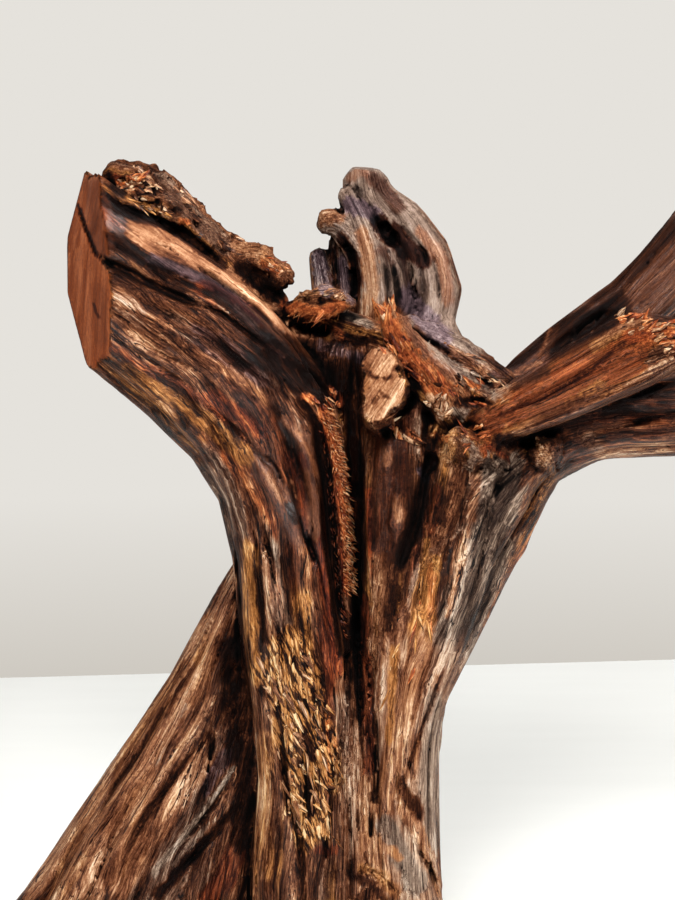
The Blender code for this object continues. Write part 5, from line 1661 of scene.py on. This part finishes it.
def pale_room(strength):
    """A room that lights the wood from all around and shows as a pale wall, with painted shade towards its
    bottom.
    """
    room = bpy.data.worlds.new("pale_room")
    nodes = Nodes(room)
    direction = nodes.add("ShaderNodeTexCoord").outputs["Generated"]
    height = nodes.add("ShaderNodeSeparateXYZ", {0: direction}).outputs["Z"]
    # The wall darkens towards its bottom, as painted shade.
    wall = nodes.ramp(nodes.math("MULTIPLY_ADD", height, 0.5, 0.5), WALL_SHADE_TINTS)
    shown = nodes.add("ShaderNodeBackground", {"Color": wall, "Strength": WALL_LIGHT}).outputs[0]
    lit = nodes.add("ShaderNodeBackground", {"Color": (*LIGHT_TINT, 1.0), "Strength": strength}).outputs[0]
    seen = nodes.add("ShaderNodeLightPath").outputs["Is Camera Ray"]
    blend = nodes.add("ShaderNodeMixShader", {0: seen, 1: lit, 2: shown}).outputs[0]
    nodes.add("ShaderNodeOutputWorld", {"Surface": blend})
    bpy.context.scene.world = room


def aim_at(thing, place):
    """Turn a light or the camera towards a place."""
    thing.rotation_euler = (Vector(place) - thing.location).to_track_quat("-Z", "Y").to_euler()


def soft_lights(power):
    """The window light and the weaker ones beside it."""
    for name, place, (width, height), share in LIGHTS:
        lamp = bpy.data.lights.new(name, "AREA")
        lamp.shape = "RECTANGLE"
        lamp.size, lamp.size_y = width, height
        lamp.energy = share * power
        lamp.color = LIGHT_TINT
        light = bpy.data.objects.new(name, lamp)
        light.location = place
        aim_at(light, LIGHT_AIM)
        bpy.context.collection.objects.link(light)


def front_camera():
    """The camera that sees the front view."""
    lens = bpy.data.cameras.new("camera")
    lens.lens = LENS
    camera = bpy.data.objects.new("camera", lens)
    reach = VIEW_DISTANCE * UNIT
    aim = Vector((0.0, 0.0, VIEW_HEIGHT * UNIT))
    camera.location = aim + Vector((0.0, -reach * math.cos(VIEW_TILT), reach * math.sin(VIEW_TILT)))
    aim_at(camera, aim)
    bpy.context.collection.objects.link(camera)
    bpy.context.scene.camera = camera
    bpy.context.scene.view_settings.view_transform = "Standard"


# Add-on
class DriftwoodSettings(bpy.types.PropertyGroup):
    """Sizes and lights that a user may change"""

    cell: FloatProperty(
        name="Grid cell", description="Size of the grid cell that the skin is grown on, in drawn units",
        default=CELL, min=0.8, max=6.0)
    triangles: IntProperty(
        name="Triangles", description="Most triangles that the skin keeps",
        default=SKIN_TRIANGLES, min=10000, max=199000)
    room_light: FloatProperty(
        name="Room light", description="Strength of the light from all around",
        default=0.22, min=0.0, max=3.0)
    window_light: FloatProperty(
        name="Window light", description="Power of the largest soft light",
        default=23.0, min=0.0, max=200.0, unit="POWER")


class DRIFTWOOD_OT_skin(bpy.types.Operator):
    """Grow the furrowed skin of the wood"""

    bl_idname = "driftwood.skin"
    bl_label = "Grow skin"

    def execute(self, context):
        settings = context.scene.driftwood
        field, grain = grow_wood(settings.cell)
        mesh = skin_mesh(*field.skin())
        keep_largest_island(mesh)
        piece = thin_out(mesh, settings.triangles)
        dress_skin(piece, field, grain)
        piece.data.materials.append(varnished_wood())
        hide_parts("driftwood")
        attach(piece, "root")
        return {"FINISHED"}


class DRIFTWOOD_OT_splinters(bpy.types.Operator):
    """Stand splinters in the torn ends"""

    bl_idname = "driftwood.splinters"
    bl_label = "Grow splinters"

    def execute(self, context):
        loose_wood("splinters", SPLINTERS, sides=5, seed=101)
        return {"FINISHED"}


class DRIFTWOOD_OT_fibres(bpy.types.Operator):
    """Line the furrow and the tears with short fibres"""

    bl_idname = "driftwood.fibres"
    bl_label = "Grow fibres"

    def execute(self, context):
        loose_wood("fibres", FIBRES, sides=3, seed=103)
        return {"FINISHED"}


class DRIFTWOOD_OT_flakes(bpy.types.Operator):
    """Lay flakes on the peeling shin and the bark"""

    bl_idname = "driftwood.flakes"
    bl_label = "Lay flakes"

    def execute(self, context):
        loose_wood("flakes", FLAKES, sides=5, seed=107)
        return {"FINISHED"}


class DRIFTWOOD_OT_stage(bpy.types.Operator):
    """Set up the table, the lights and the camera"""

    bl_idname = "driftwood.stage"
    bl_label = "Set the stage"

    def execute(self, context):
        settings = context.scene.driftwood
        white_table()
        pale_room(settings.room_light)
        soft_lights(settings.window_light)
        front_camera()
        return {"FINISHED"}


class DRIFTWOOD_PT_panel(bpy.types.Panel):
    """The pieces of the driftwood horse head"""

    bl_idname = "DRIFTWOOD_PT_panel"
    bl_label = "Driftwood horse head"
    bl_space_type = "VIEW_3D"
    bl_region_type = "UI"
    bl_category = "Driftwood"

    def draw(self, context):
        settings = context.scene.driftwood
        for name in ("cell", "triangles", "room_light", "window_light"):
            self.layout.prop(settings, name)
        for operator in OPERATORS:
            self.layout.operator(operator.bl_idname)


OPERATORS = (DRIFTWOOD_OT_skin, DRIFTWOOD_OT_splinters, DRIFTWOOD_OT_fibres, DRIFTWOOD_OT_flakes,
             DRIFTWOOD_OT_stage)
CLASSES = (DriftwoodSettings, *OPERATORS, DRIFTWOOD_PT_panel)


def register():
    for kind in CLASSES:
        bpy.utils.register_class(kind)
    bpy.types.Scene.driftwood = PointerProperty(type=DriftwoodSettings)


def unregister():
    del bpy.types.Scene.driftwood
    for kind in reversed(CLASSES):
        bpy.utils.unregister_class(kind)


def main():
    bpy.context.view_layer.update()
    register()
    bpy.ops.driftwood.skin()
    bpy.ops.driftwood.splinters()
    bpy.ops.driftwood.fibres()
    bpy.ops.driftwood.flakes()
    bpy.ops.driftwood.stage()


if __name__ == "__main__":
    main()
